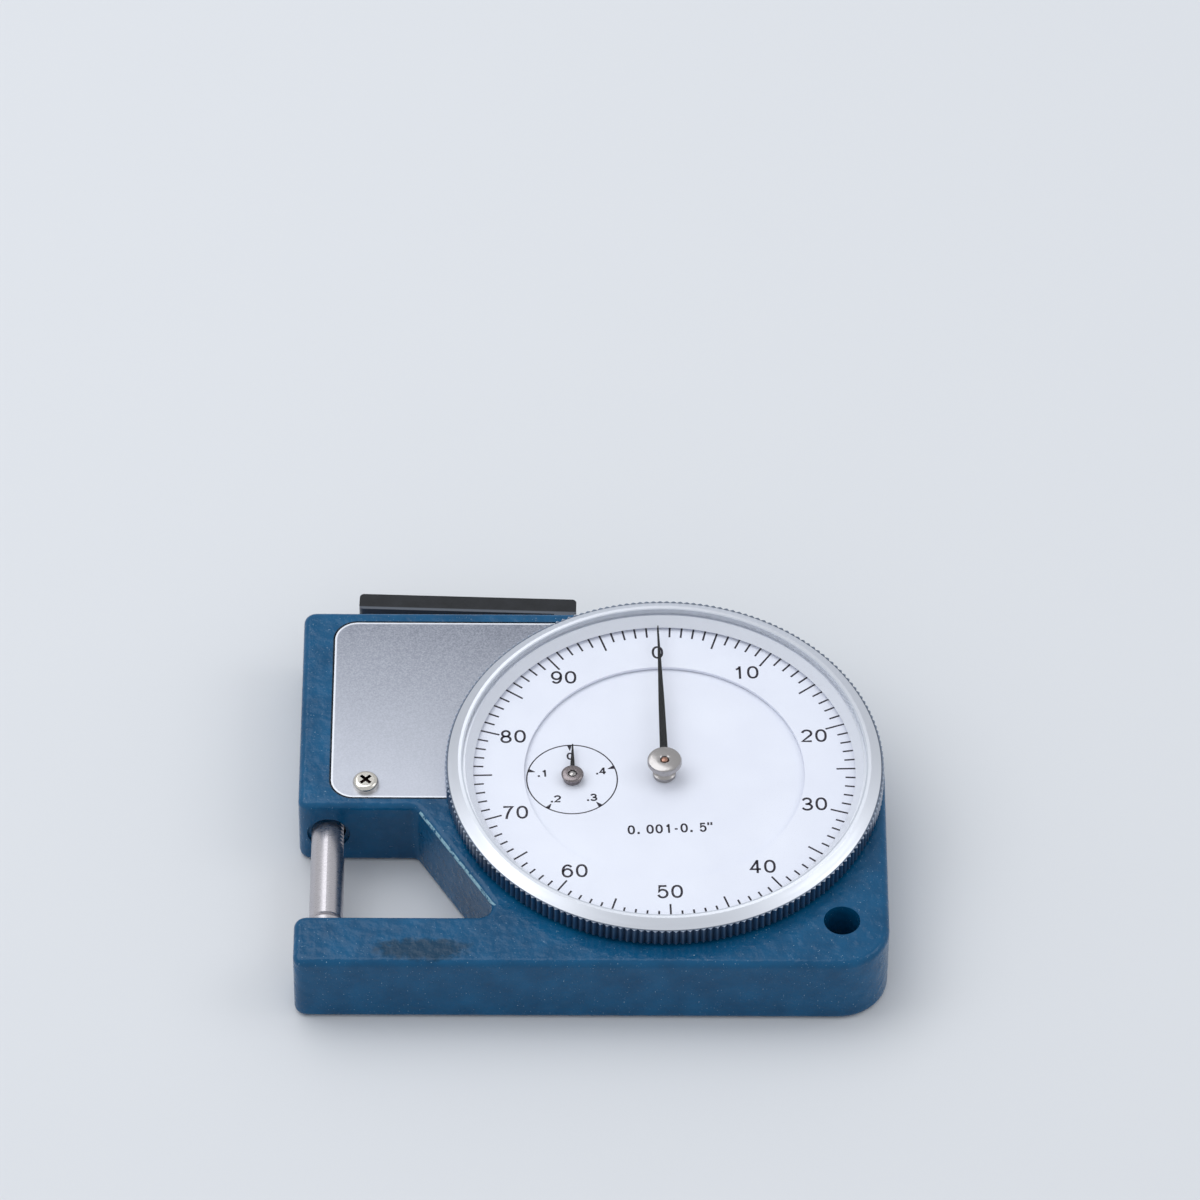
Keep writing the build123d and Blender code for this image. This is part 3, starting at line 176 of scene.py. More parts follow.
class Finish:
    """A material on one Principled shader, with helpers that add to it."""

    def __init__(self, name, colour, roughness, metallic=0.0, **plain):
        self.material = bpy.data.materials.new(name)
        self.material.use_nodes = True
        self.tree = self.material.node_tree
        self.shader = self.tree.nodes["Principled BSDF"]
        self.shader.inputs["Base Color"].default_value = (*colour, 1)
        self.shader.inputs["Roughness"].default_value = roughness
        self.shader.inputs["Metallic"].default_value = metallic
        for socket, value in plain.items():
            self.shader.inputs[socket.replace("_", " ")].default_value = value
        self.height = None

    def add(self, kind, **settings):
        node = self.tree.nodes.new("ShaderNode" + kind)
        for key, value in settings.items():
            setattr(node, key, value)
        return node

    def join(self, source, target):
        self.tree.links.new(source, target)

    def feed(self, socket, value):
        """Types a number or a colour on a socket, or joins an output to it."""
        if isinstance(value, tuple):
            socket.default_value = (*value, 1)
        elif isinstance(value, (int, float)):
            socket.default_value = value
        else:
            self.join(value, socket)

    def millimetres(self, stretch=(1, 1, 1)):
        """The place on the part in millimetres, stretched by axis if asked."""
        place = self.add("TexCoord")
        scale = self.add("Mapping")
        scale.inputs["Scale"].default_value = tuple(s / MM for s in stretch)
        self.join(place.outputs["Object"], scale.inputs["Vector"])
        return scale.outputs["Vector"]

    def xyz(self):
        """The three numbers of the place on the part, in millimetres."""
        parts = self.add("SeparateXYZ")
        self.join(self.millimetres(), parts.inputs[0])
        return parts.outputs

    def noise(self, per_mm, detail=3.0, rough=0.55, where=None):
        texture = self.add("TexNoise")
        texture.inputs["Scale"].default_value = per_mm
        texture.inputs["Detail"].default_value = detail
        texture.inputs["Roughness"].default_value = rough
        self.join(where or self.millimetres(), texture.inputs["Vector"])
        return texture.outputs["Fac"]

    def ramp(self, source, stops):
        """Turns a number into a colour or a grey by (place, colour) stops."""
        ramp = self.add("ValToRGB")
        elements = ramp.color_ramp.elements
        while len(elements) < len(stops):
            elements.new(RAMP_MIDDLE)
        for element, (place, value) in zip(elements, stops):
            element.position = place
            grey = isinstance(value, (int, float))
            element.color = (value, value, value, 1) if grey else (*value, 1)
        self.join(source, ramp.inputs["Fac"])
        return ramp.outputs["Color"]

    def mix(self, share, first, second):
        """The first colour where the share is 0, the second where it is 1."""
        blend = self.add("MixRGB")
        for socket, value in zip(blend.inputs, (share, first, second)):
            self.feed(socket, value)
        return blend.outputs[0]

    def colour_from(self, source, stops=None):
        colour = self.ramp(source, stops) if stops else source
        self.join(colour, self.shader.inputs["Base Color"])

    def roughness_from(self, source, low, high):
        """The noise spans about 0.3 to 0.7, so the two values lie there."""
        grey = self.ramp(source, [(0.3, low), (0.7, high)])
        self.join(grey, self.shader.inputs["Roughness"])

    def bump_from(self, source, depth_mm, strength):
        """Lays a relief on the surface; several calls lie on each other."""
        bump = self.add("Bump")
        bump.inputs["Strength"].default_value = strength
        bump.inputs["Distance"].default_value = depth_mm * MM
        self.join(source, bump.inputs["Height"])
        if self.height:
            self.join(self.height, bump.inputs["Normal"])
        self.height = bump.outputs["Normal"]
        self.join(self.height, self.shader.inputs["Normal"])

    def math(self, operation, *values):
        node = self.add("Math", operation=operation)
        for socket, value in zip(node.inputs, values):
            self.feed(socket, value)
        return node.outputs[0]

    def sum_of(self, *terms):
        """Adds numbers, outputs, and (output, factor) pairs."""
        total = 0.0
        for term in terms:
            value = self.math("MULTIPLY", *term) if isinstance(term, tuple) else term
            total = self.math("ADD", total, value)
        return total

    def vector(self, x, y, z):
        node = self.add("CombineXYZ")
        for socket, value in zip(node.inputs, (x, y, z)):
            self.feed(socket, value)
        return node.outputs[0]


def dress(finish, *names):
    """Puts a finish on nodes or pieces, in place of what they came with."""
    for name in names:
        piece = nodes[name] if name in nodes else bpy.data.objects[name]
        piece.data.materials.clear()
        piece.data.materials.append(finish.material)
    print(finish.material.name, "->", ", ".join(names))


floor_finish = Finish("pale_floor", srgb(216, 218, 222), 0.85)
floor_finish.roughness_from(floor_finish.noise(0.05), 0.8, 0.95)
dress(floor_finish, "floor")

# %% [markdown]
# ## Blue paint
#
# The casting wears a thick petrol-blue enamel whose tone drifts a little, with a few
# pale specks of dust that dried into it. A dark line of painted shade lies in the narrow
# gap round the cover, and a dark patch of painted reflection lies on the front of the
# lower jaw.
# Such marks could be painted on a picture, but a picture has to be unwrapped over the
# part. A mask of distance needs no unwrapping: one is measured from the cover's
# outline, and the other is an ellipse whose rim a noise makes uneven.

# %% Blue paint
PLATE_LOW_MM = (-43.45, -3.55)
PLATE_HIGH_MM = (0.0, 27.0)
PLATE_CORNER_MM = 3.0
DARK_PATCH_AT_MM = (-31.2, -29.1)
DARK_PATCH_HALF_MM = (9.4, 2.8)


def inside_plate(finish):
    """Distance in mm from the cover's rounded outline, positive inside it."""
    x, y, _ = finish.xyz()
    past = []
    for value, low, high in zip((x, y), PLATE_LOW_MM, PLATE_HIGH_MM):
        off = finish.math("ABSOLUTE", finish.math("SUBTRACT", value, (low + high) / 2))
        past.append(finish.math("SUBTRACT", off, (high - low) / 2 - PLATE_CORNER_MM))
    out = [finish.math("MAXIMUM", value, 0.0) for value in past]
    round_off = finish.math("SQRT", finish.sum_of((out[0], out[0]), (out[1], out[1])))
    within = finish.math("MINIMUM", finish.math("MAXIMUM", past[0], past[1]), 0.0)
    return finish.math("SUBTRACT", PLATE_CORNER_MM, finish.math("ADD", round_off, within))


paint = Finish("blue_paint", srgb(4, 76, 116), 0.24, Specular_IOR_Level=0.28)
tone = paint.ramp(
    paint.noise(0.22, detail=4), [(0.30, srgb(2, 68, 106)), (0.72, srgb(8, 84, 126))]
)
specks = paint.ramp(paint.noise(4.5, detail=1), [(0.735, 0.0), (0.765, 0.5)])
speckled = paint.mix(specks, tone, srgb(168, 196, 212))

# Painted shade: a dark line along the narrow gap round the cover.
inside = paint.math("ADD", inside_plate(paint), RAMP_MIDDLE)
gap_shade_mask = paint.ramp(inside, [(0.18, 0.0), (0.30, 0.92)])
gap_shaded = paint.mix(gap_shade_mask, speckled, srgb(6, 22, 32))

x, y, z = paint.xyz()
# Painted reflection: a dark elliptical patch on the front of the lower jaw, standing in
# for a dark spot in the glossy paint's reflection.
off_x = paint.sum_of((x, 1 / DARK_PATCH_HALF_MM[0]), -DARK_PATCH_AT_MM[0] / DARK_PATCH_HALF_MM[0])
off_y = paint.sum_of((y, 1 / DARK_PATCH_HALF_MM[1]), -DARK_PATCH_AT_MM[1] / DARK_PATCH_HALF_MM[1])
uneven = (paint.noise(0.8, detail=3), 0.9)
off_dark_patch = paint.sum_of((off_x, off_x), (off_y, off_y), uneven)
painted_dark_reflection = paint.ramp(off_dark_patch, [(0.66, 0.8), (0.98, 0.0)])
patched_paint = paint.mix(painted_dark_reflection, gap_shaded, srgb(3, 46, 70))
print("painted dark patch, mm wide", 2 * DARK_PATCH_HALF_MM[0])

# %% [markdown]
# ## Pale edge and relief of the paint
#
# The corner along the throat is painted pale in chips: partly paint rubbed through to
# bright metal where work slides over it, partly a painted highlight of its rounded
# edge. It is a mask of distance too, now from a straight line through the corner's two
# ends, and a noise breaks it up into short chips. Sprayed paint is never quite flat: it
# has an orange peel of soft dimples about a millimetre wide, and finer nibs. Both are
# only bumps of light, which cost nothing and leave the solid as it is.

# %% Pale edge and relief of the paint
PEEL_PER_MM = 0.75
NIBS_PER_MM = 3.2
CASTING_TOP_MM = 11.0
THROAT_TOP_MM = (-32.3, -5.1)
THROAT_FOOT_MM = (-20.9, -23.5)
PALE_EDGE_FROM_MM = 0.13
PALE_EDGE_HALF_WIDTH_MM = 0.11
PALE_EDGE_HALF_LENGTH_MM = 8.0
PALE_EDGE_SHIFT_MM = 0.6
PALE_EDGE_DEPTH_MM = 0.85

run_x = THROAT_FOOT_MM[0] - THROAT_TOP_MM[0]
run_y = THROAT_FOOT_MM[1] - THROAT_TOP_MM[1]
edge_length = math.hypot(run_x, run_y)
from_edge = paint.sum_of(
    (x, -run_y / edge_length), (y, run_x / edge_length),
    (THROAT_TOP_MM[0] * run_y - THROAT_TOP_MM[1] * run_x) / edge_length,
)
on_edge = paint.math("COMPARE", from_edge, PALE_EDGE_FROM_MM, PALE_EDGE_HALF_WIDTH_MM)
near_top = paint.math("GREATER_THAN", z, CASTING_TOP_MM - PALE_EDGE_DEPTH_MM)
edge_middle = (THROAT_TOP_MM[1] + THROAT_FOOT_MM[1]) / 2 + PALE_EDGE_SHIFT_MM
along = paint.math("COMPARE", y, edge_middle, PALE_EDGE_HALF_LENGTH_MM)
chips = paint.ramp(paint.noise(1.4, detail=4, rough=0.7), [(0.38, 0.0), (0.50, 0.85)])
highlight_and_wear = paint.math("MULTIPLY", paint.math("MULTIPLY", on_edge, near_top),
                  paint.math("MULTIPLY", along, chips))
# Painted highlight and wear: pale chips along the throat's rounded top edge.
paint.colour_from(paint.mix(highlight_and_wear, patched_paint, srgb(150, 190, 205)))
paint.roughness_from(paint.noise(0.6, detail=2), 0.16, 0.28)
paint.bump_from(paint.noise(PEEL_PER_MM, detail=1.5), 0.16, 0.9)
paint.bump_from(paint.noise(NIBS_PER_MM, detail=2), 0.03, 0.8)
dress(paint, "cast_frame", "lower_guide_bush")
print("pale edge, mm long", round(edge_length, 1))

# %% [markdown]
# ## Satin cover plate
#
# The cover is a sheet that was sanded in no one direction and then anodised, so it
# has a fine sparkle of grain but no stripes. Brushing would be a stretched noise; here
# the noise is left round, very fine, and drives both the roughness and a tiny relief.
# The plate is painted darker towards the back and a little to the right, as painted
# shade, and a painted highlight runs as a thin bright line round its edge.

# %% Satin cover plate
GRAIN_PER_MM = 4.6
SHADE_PER_MM_X = 0.007
SHADE_PER_MM_Y = 0.032
SHADE_AT_ORIGIN = 0.20

satin = Finish("satin_plate", srgb(170, 172, 182), 0.42, metallic=1.0)
grain = satin.noise(GRAIN_PER_MM, detail=4, rough=0.7)
x, y, _ = satin.xyz()
cloudy = (satin.noise(0.12, detail=2), 0.15)
# Painted shade: the plate darkens towards the back and a little to the right.
painted_falloff = satin.sum_of(
    (x, SHADE_PER_MM_X), (y, SHADE_PER_MM_Y), SHADE_AT_ORIGIN, cloudy
)
falloff_tone = satin.ramp(painted_falloff, [(0.0, srgb(180, 183, 193)), (1.0, srgb(118, 122, 134))])
sparkle = satin.mix(
    satin.ramp(grain, [(0.40, 0.0), (0.66, 0.34)]), falloff_tone, srgb(214, 217, 226)
)
# Painted highlight: a thin bright line round the plate's edge.
rim = satin.ramp(inside_plate(satin), [(0.18, 0.8), (0.30, 0.0)])
satin.colour_from(satin.mix(rim, sparkle, srgb(232, 235, 242)))
satin.roughness_from(grain, 0.34, 0.52)
satin.bump_from(grain, 0.014, 0.6)
dress(satin, "cover_plate")

# %% [markdown]
# ## Turned aluminium
#
# The bezel and the seat ring come off a lathe. The tool leaves rings about the dial's
# axis, so the noise is read in distance from that axis and hardly at all round it.
# Such grooves also smear a reflection across themselves, so the shader is told which
# way is round: that draws a soft fan of light across a turned face. The colour of the
# grip round the bezel's side also follows the distance from the axis: painted shade
# in its grooves, and a painted highlight on its crests. Inside the radius of the cone
# down to the dial, the metal gives way to a pale surface that is hardly metallic, a
# painted reflection of the white dial in the cone.

# %% Turned aluminium
CONE_TOP_MM = 26.0
GRIP_GROOVE_MM = 28.28
GRIP_CREST_MM = 28.60
RINGS_PER_MM = 7.0
RING_DEPTH_MM = 0.008
ALONG_A_RING = 0.35


def about_axis(finish, x_mm=0.0, y_mm=0.0):
    """(distance from an upright axis in mm, angle round it, height in mm)."""
    x, y, z = finish.xyz()
    x = finish.math("SUBTRACT", x, x_mm)
    y = finish.math("SUBTRACT", y, y_mm)
    square = finish.sum_of((x, x), (y, y))
    return finish.math("SQRT", square), finish.math("ARCTAN2", y, x), z


def turned(name, colour, roughness):
    """A lathe-turned metal whose grooves run round the dial's axis."""
    metal = Finish(name, colour, roughness, metallic=1.0)
    reach, angle, height = about_axis(metal)
    slowly_round = metal.math("MULTIPLY", angle, ALONG_A_RING)
    where = metal.vector(metal.sum_of(reach, height), slowly_round, 0)
    rings = metal.noise(RINGS_PER_MM, detail=3, where=where)
    metal.roughness_from(rings, roughness * 0.85, roughness * 1.2)
    metal.bump_from(rings, RING_DEPTH_MM, 0.6)
    metal.shader.inputs["Anisotropic"].default_value = 0.65
    round_way = metal.add("Tangent", direction_type="RADIAL", axis="Z")
    metal.join(round_way.outputs[0], metal.shader.inputs["Tangent"])
    return metal, reach


bright = srgb(222, 225, 233)
bezel_metal, reach = turned("turned_aluminium", bright, 0.36)
# Painted reflection: inside the cone the metal turns pale and hardly metallic, standing in
# for the white dial reflected in it.
within_cone = bezel_metal.ramp(
    bezel_metal.math("MULTIPLY", reach, 1 / CONE_TOP_MM), [(0.996, 0.12), (1.0, 1.0)]
)
bezel_metal.join(within_cone, bezel_metal.shader.inputs["Metallic"])
grip_depth_mm = GRIP_CREST_MM - GRIP_GROOVE_MM
outward = bezel_metal.math("SUBTRACT", reach, GRIP_GROOVE_MM - RAMP_MIDDLE)
# Painted shade in the grip's grooves and a painted highlight on its crests.
bezel_metal.colour_from(outward, [
    (0.40, bright), (0.47, srgb(84, 94, 110)),
    (RAMP_MIDDLE + grip_depth_mm * 0.6, srgb(134, 144, 160)),
    (RAMP_MIDDLE + grip_depth_mm * 0.95, srgb(190, 196, 206)),
])
seat_metal, _ = turned("turned_seat", srgb(196, 198, 203), 0.34)
dress(bezel_metal, "bezel")
dress(seat_metal, "dial_seat_ring")

# %% [markdown]
# ## Ground and plated steel
#
# The spindle and the anvil are hardened and ground round, so they shine softly with
# very faint lines round them. The small hardware is plain or plated steel. One
# function makes all of these, because they differ only in colour, gloss and how the
# grinding ran.

# %% Ground and plated steel
def ground(name, colour, roughness, stretch=(1, 1, 1), per_mm=4.0, depth_mm=0.003):
    """Steel with grinding lines, long where the stretch is small."""
    steel = Finish(name, colour, roughness, metallic=1.0)
    lines = steel.noise(per_mm, detail=4, rough=0.6, where=steel.millimetres(stretch))
    steel.roughness_from(lines, roughness * 0.75, roughness * 1.35)
    steel.bump_from(lines, depth_mm, 0.5)
    return steel


hardened = ground("ground_steel", srgb(192, 188, 192), 0.30, (0.4, 3.0, 0.4), 4.0, 0.0012)
plain = ground("plain_steel", srgb(176, 177, 180), 0.28)
spring = ground("spring_steel", srgb(122, 126, 138), 0.26, per_mm=6.0)
zinc = ground("zinc_steel", srgb(188, 190, 194), 0.32, per_mm=5.0)
nickel = ground("bright_nickel", srgb(172, 168, 167), 0.20, per_mm=6.0)
dress(hardened, "spindle", "anvil")
dress(plain, "idler_studs", "lift_arm_stud", "lift_pin", "lift_peg", "lift_arm",
      "rack_arbor", "counter_arbor", "centre_arbor", "thumb_lever_pin", "hairspring_stud")
dress(spring, "bezel_wire", "return_spring", "hairspring")
dress(zinc, "seat_ring_screws", "plate_screws")
dress(nickel, "main_hub", "counter_hub")

# %% [markdown]
# ## Screw of the cover
#
# The cover's one screw is nickel plated, and its cross is painted dark as painted shade
# of the recess. The cross is already cut in the solid, so the painted shade needs no shape
# of its own: it is the part of the head that lies below the top and near the axis.

# %% Screw of the cover
RECESS_SHADE_MM = 0.10
RECESS_REACH_MM = 1.05
SCREW_COLOUR = srgb(216, 211, 203)


def axis_of(box):
    """Where the upright axis through the middle of a node's box stands, in mm."""
    low, high = box
    return tuple((low[k] + high[k]) / 2 / MM for k in (0, 1))


screw_nickel = ground("screw_nickel", SCREW_COLOUR, 0.15, per_mm=6.0, depth_mm=0.0015)
screw_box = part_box("cover_screw")
screw_top_mm = screw_box[1].z / MM
reach, _, z = about_axis(screw_nickel, *axis_of(screw_box))
below_top = screw_nickel.math("LESS_THAN", z, screw_top_mm - RECESS_SHADE_MM)
near_axis = screw_nickel.math("LESS_THAN", reach, RECESS_REACH_MM)
cross_shade = screw_nickel.math("MULTIPLY", below_top, near_axis)
# Painted shade: the cross recess of the screw head is coloured dark.
screw_nickel.colour_from(screw_nickel.mix(cross_shade, SCREW_COLOUR, srgb(52, 42, 36)))
dress(screw_nickel, "cover_screw")

# %% [markdown]
# ## Brass movement
#
# The movement's plates and wheels are rolled brass sheet, and the pillars are turned
# brass. Brass tarnishes in soft patches, so a wide noise moves the colour a little
# between fresh and dull.

# %% Brass movement
brass = Finish("brass_sheet", srgb(214, 178, 98), 0.26, metallic=1.0)
brass.colour_from(
    brass.noise(0.4, detail=3), [(0.3, srgb(196, 156, 78)), (0.7, srgb(226, 192, 116))]
)
brass_lines = brass.noise(5, detail=3, where=brass.millimetres((0.15, 1.6, 1)))
brass.roughness_from(brass_lines, 0.20, 0.34)
brass.bump_from(brass_lines, 0.004, 0.5)
dress(brass, "movement_base_plate", "movement_top_plate", "plate_pillars",
      "rack_pinion", "first_wheel", "idler_wheel_one", "idler_wheel_two",
      "counter_wheel", "great_wheel", "centre_pinion")

# %% [markdown]
# ## Dial, hands, lever and gasket
#
# The dial is metal under a smooth white baked enamel, with the slightest unevenness.
# The hands are stamped and painted black, and the gasket is a thin pale plastic ring.
# The lever is dark and smooth, with a painted highlight along its front edge. That edge
# is found by its distance from the line of the lever's lower side.

# %% Dial, hands, lever and gasket
enamel = Finish("dial_white", srgb(229, 232, 244), 0.42, Specular_IOR_Level=0.3)
enamel.colour_from(
    enamel.noise(0.12, detail=2), [(0.2, srgb(225, 228, 240)), (0.8, srgb(232, 235, 246))]
)
enamel.bump_from(enamel.noise(0.8, detail=2), 0.004, 0.3)
dress(enamel, "graduated_ring", "inner_dial")

black = Finish("hand_black", srgb(10, 11, 15), 0.34, Specular_IOR_Level=0.3)
black.roughness_from(black.noise(3, detail=3), 0.28, 0.44)
black.bump_from(black.noise(6, detail=2), 0.002, 0.4)
dress(black, "main_hand", "counter_hand")

LEVER_CORNER_MM = (-11.6, 30.9)
LEVER_SLOPE = math.tan(math.radians(1.75))
GLINT_FROM_MM = 0.34
GLINT_END_MM = 0.50

lever_dark = Finish("dark_lever", srgb(26, 28, 32), 0.34, Specular_IOR_Level=0.3)
x, y, _ = lever_dark.xyz()
from_side = lever_dark.sum_of(
    y, (x, LEVER_SLOPE), -LEVER_CORNER_MM[1] - LEVER_CORNER_MM[0] * LEVER_SLOPE
)
# Painted highlight: a bright line along the lever's front edge.
painted_edge_glint = lever_dark.ramp(from_side, [(GLINT_FROM_MM, 0.8), (GLINT_END_MM, 0.0)])
body_tone = lever_dark.ramp(
    lever_dark.noise(0.5, detail=4), [(0.3, srgb(20, 22, 26)), (0.7, srgb(32, 34, 39))]
)
lever_dark.colour_from(lever_dark.mix(painted_edge_glint, body_tone, srgb(96, 102, 112)))
lever_dark.roughness_from(lever_dark.noise(2, detail=3), 0.28, 0.42)
lever_dark.bump_from(lever_dark.noise(3, detail=3), 0.006, 0.4)
dress(lever_dark, "thumb_lever")

gasket = Finish("pale_gasket", srgb(190, 195, 205), 0.40)
gasket.roughness_from(gasket.noise(4, detail=3), 0.34, 0.50)
gasket.bump_from(gasket.noise(6, detail=3), 0.004, 0.5)
dress(gasket, "crystal_gasket")

# %% [markdown]
# ## Crystal
#
# The crystal is clear acrylic: a pale gloss that shows most at a low angle, laid over
# full see-through. Glass shaders bend the light, and then the lamps reach the dial
# only by chance and it turns grey and grainy. A clear shader and a glossy one, mixed
# by the angle, let all the light through to the dial and still give the glint. Only
# the outer faces shine: from inside, a low angle counts as a full mirror, and the dial
# would turn black when the eye comes down.

# %% Crystal
CRYSTAL_IOR = 1.22
clear = bpy.data.materials.new("clear_crystal")
clear.use_nodes = True
clear_nodes = clear.node_tree.nodes
clear_nodes.remove(clear_nodes["Principled BSDF"])
through = clear_nodes.new("ShaderNodeBsdfTransparent")
gloss = clear_nodes.new("ShaderNodeBsdfGlossy")
gloss.inputs["Roughness"].default_value = 0.10
angle_share = clear_nodes.new("ShaderNodeFresnel")
angle_share.inputs["IOR"].default_value = CRYSTAL_IOR
side = clear_nodes.new("ShaderNodeNewGeometry")
outer_share = clear_nodes.new("ShaderNodeMath")
outer_share.operation = "SUBTRACT"
outer_share.use_clamp = True
shares = clear_nodes.new("ShaderNodeMixShader")
for source, target in (
    (angle_share.outputs[0], outer_share.inputs[0]),
    (side.outputs["Backfacing"], outer_share.inputs[1]),
    (outer_share.outputs[0], shares.inputs[0]),
    (through.outputs[0], shares.inputs[1]),
    (gloss.outputs[0], shares.inputs[2]),
    (shares.outputs[0], clear_nodes["Material Output"].inputs["Surface"]),
):
    clear.node_tree.links.new(source, target)
nodes["crystal"].data.materials.clear()
nodes["crystal"].data.materials.append(clear)
print("crystal is clear")

# %% [markdown]
# ## Pieces that are made here
#
# A few things are finer than the solids carry: the turned shape of the two hubs on
# the hands, and the print. Each is a mesh of its own that rides on the body it
# belongs to. A turned piece is a profile that is spun round an upright axis, which is
# just what the lathe does to the real one.

# %% Helpers for pieces
SHARP_ANGLE = math.radians(35)


def new_piece(name, mesh, body, finish):
    """Puts a mesh in the scene as a piece that moves with a body."""
    piece = bpy.data.objects.new(name, mesh)
    bpy.context.scene.collection.objects.link(piece)
    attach(piece, body)
    piece.data.materials.append(finish.material)
    return piece


def mesh_of(made, name):
    """Turns a bmesh into a mesh whose faces look outwards."""
    bmesh.ops.recalc_face_normals(made, faces=made.faces)
    mesh = bpy.data.meshes.new(name)
    made.to_mesh(mesh)
    made.free()
    return mesh


def spun(name, profile, axis, body, finish, steps=72):
    """Spins a closed profile of (reach, height) points in mm round an axis."""
    made = bmesh.new()
    rings = []
    for step in range(steps):
        turn = 2 * math.pi * step / steps
        across, along = math.cos(turn), math.sin(turn)
        rings.append([
            made.verts.new((
                (axis[0] + r * across) * MM, (axis[1] + r * along) * MM, z * MM
            ))
            for r, z in profile
        ])
    for step in range(steps):
        here, after = rings[step], rings[(step + 1) % steps]
        for k in range(len(profile)):
            m = (k + 1) % len(profile)
            made.faces.new((here[k], after[k], after[m], here[m]))
    mesh = mesh_of(made, name)
    mesh.shade_smooth()
    mesh.set_sharp_from_angle(angle=SHARP_ANGLE)
    return new_piece(name, mesh, body, finish)


print("edges stay crisp from", round(math.degrees(SHARP_ANGLE)), "degrees")

# %% [markdown]
# ## Hubs of the hands
#
# Each hand is pressed on a turned hub that hides the joint: a flat cap with a bevelled
# rim over a narrower neck. The end of the arbor shows in the cap's small hole, a
# little coppery from its lacquer. The hubs replace the plainer solids of the CAD.

# %% Hubs of the hands
MAIN_HUB_MM = [
    (0.56, 14.30), (0.56, 14.66), (0.74, 14.80), (1.86, 14.80), (2.12, 14.70),
    (2.25, 14.46), (2.25, 14.10), (2.10, 13.92), (1.80, 13.82), (1.50, 13.80),
    (1.50, 13.45), (1.12, 13.20), (1.05, 12.80), (1.20, 12.45), (1.50, 12.25),
    (1.50, 11.72), (0.56, 11.72),
]
SMALL_HUB_MM = [
    (0.56, 12.60), (0.56, 12.78), (0.64, 12.85), (1.16, 12.85), (1.36, 12.78),
    (1.45, 12.66), (1.45, 12.50), (1.34, 12.41), (1.20, 12.40), (1.20, 11.72),
    (0.56, 11.72),
]
PIN_PROFILE_MM = [
    (0.02, 0), (0.24, -0.02), (0.42, -0.12), (0.46, -0.25), (0.46, -0.6), (0.02, -0.6),
]
centre = (0.0, 0.0)
counter_axis = axis_of(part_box("counter_hub"))
main_cap = spun("main_hub_turned", MAIN_HUB_MM, centre, "centre_group", nickel)
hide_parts("main_hub")

dull_nickel = ground("dull_nickel", srgb(132, 124, 126), 0.24, per_mm=6.0)
small_cap = spun(
    "counter_hub_turned", SMALL_HUB_MM, counter_axis, "counter_group", dull_nickel
)
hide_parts("counter_hub")

copper = ground("coppery_pin", srgb(168, 128, 112), 0.34, per_mm=8.0)
for name, axis, top, body, metal in (
    ("main_pin_end", centre, 14.78, "centre_group", copper),
    ("counter_pin_end", counter_axis, 12.86, "counter_group", nickel),
):
    tip = [(reach, top + rise) for reach, rise in PIN_PROFILE_MM]
    spun(name, tip, axis, body, metal, steps=32)
print("small hub stands at", [round(v, 2) for v in counter_axis])

# %% [markdown]
# ## Print on the dial
#
# The scale is ink on the enamel: a film a hundredth of a millimetre thick. It could be
# a pattern in the material, but ink has crisp edges at any distance if it is a mesh of
# its own, so every tick and figure is a flat piece that stands just proud of the dial.
# A text object would be quick, but its font has a plain bar for a one and thin dots.
# A pen is better: every mark here is a stroke, a path with a width. Ticks are paths of
# two points, and figures are paths of arcs and straight runs, drawn to a height of 1.

# %% The pen
INK_MM = 0.012
INK_SUNK_MM = INK_MM / 3
FULLEST_MITRE = 0.6
PEN = 0.070
HALF_HIGH = 0.5 - PEN
HALF_WIDE = 0.295


def clock(reach, degrees_clockwise, middle=(0, 0)):
    """The place at a distance from a middle, at an angle read clockwise from +Y."""
    turn = math.radians(degrees_clockwise)
    return middle[0] + reach * math.sin(turn), middle[1] + reach * math.cos(turn)


def arc(cx, cy, rx, ry, start, end, steps=14, square=1.0):
    """Points of an ellipse from one angle to another; a square below 1 fills corners."""
    points = []
    for i in range(steps + 1):
        turn = math.radians(start + (end - start) * i / steps)
        c, s = math.cos(turn), math.sin(turn)
        points.append((
            cx + rx * math.copysign(abs(c) ** square, c),
            cy + ry * math.copysign(abs(s) ** square, s),
        ))
    return points


def stroke(made, points, widths, z_mm):
    """Inks a path; a path that ends where it starts is closed."""
    closed = len(points) > 2 and math.dist(points[0], points[-1]) < 1e-6
    points = points[:-1] if closed else points
    count = len(points)
    rows = []
    for i, (x, y) in enumerate(points):
        before = points[i - 1] if closed or i else points[i]
        after = points[(i + 1) % count] if closed or i + 1 < count else points[i]
        into = Vector((x - before[0], y - before[1])).normalized()
        out = Vector((after[0] - x, after[1] - y)).normalized()
        way = (into + out).normalized()
        corner = max(way.dot(out if out.length else into), FULLEST_MITRE)
        width = widths[i] if isinstance(widths, tuple) else widths
        side = Vector((-way.y, way.x)) * width / corner
        rows.append([
            made.verts.new(((x + side.x * k) * MM, (y + side.y * k) * MM, (z_mm + h) * MM))
            for k, h in ((-1, 0), (1, 0), (1, INK_MM), (-1, INK_MM))
        ])
    for i in range(count if closed else count - 1):
        here, then = rows[i], rows[(i + 1) % count]
        for k in range(4):
            made.faces.new((here[k], here[(k + 1) % 4], then[(k + 1) % 4], then[k]))
    if not closed:
        made.faces.new(rows[0])
        made.faces.new(list(reversed(rows[-1])))


print("pen width as a share of the height", PEN * 2)

# %% [markdown]
# ## Figures
#
# A plain upright figure has one stroke width all over. The six is a bowl with a stem
# that bends over it, the nine is the six turned upside down, and the one has a short
# flag. Two arcs that share a point with the same slope read as one smooth line.

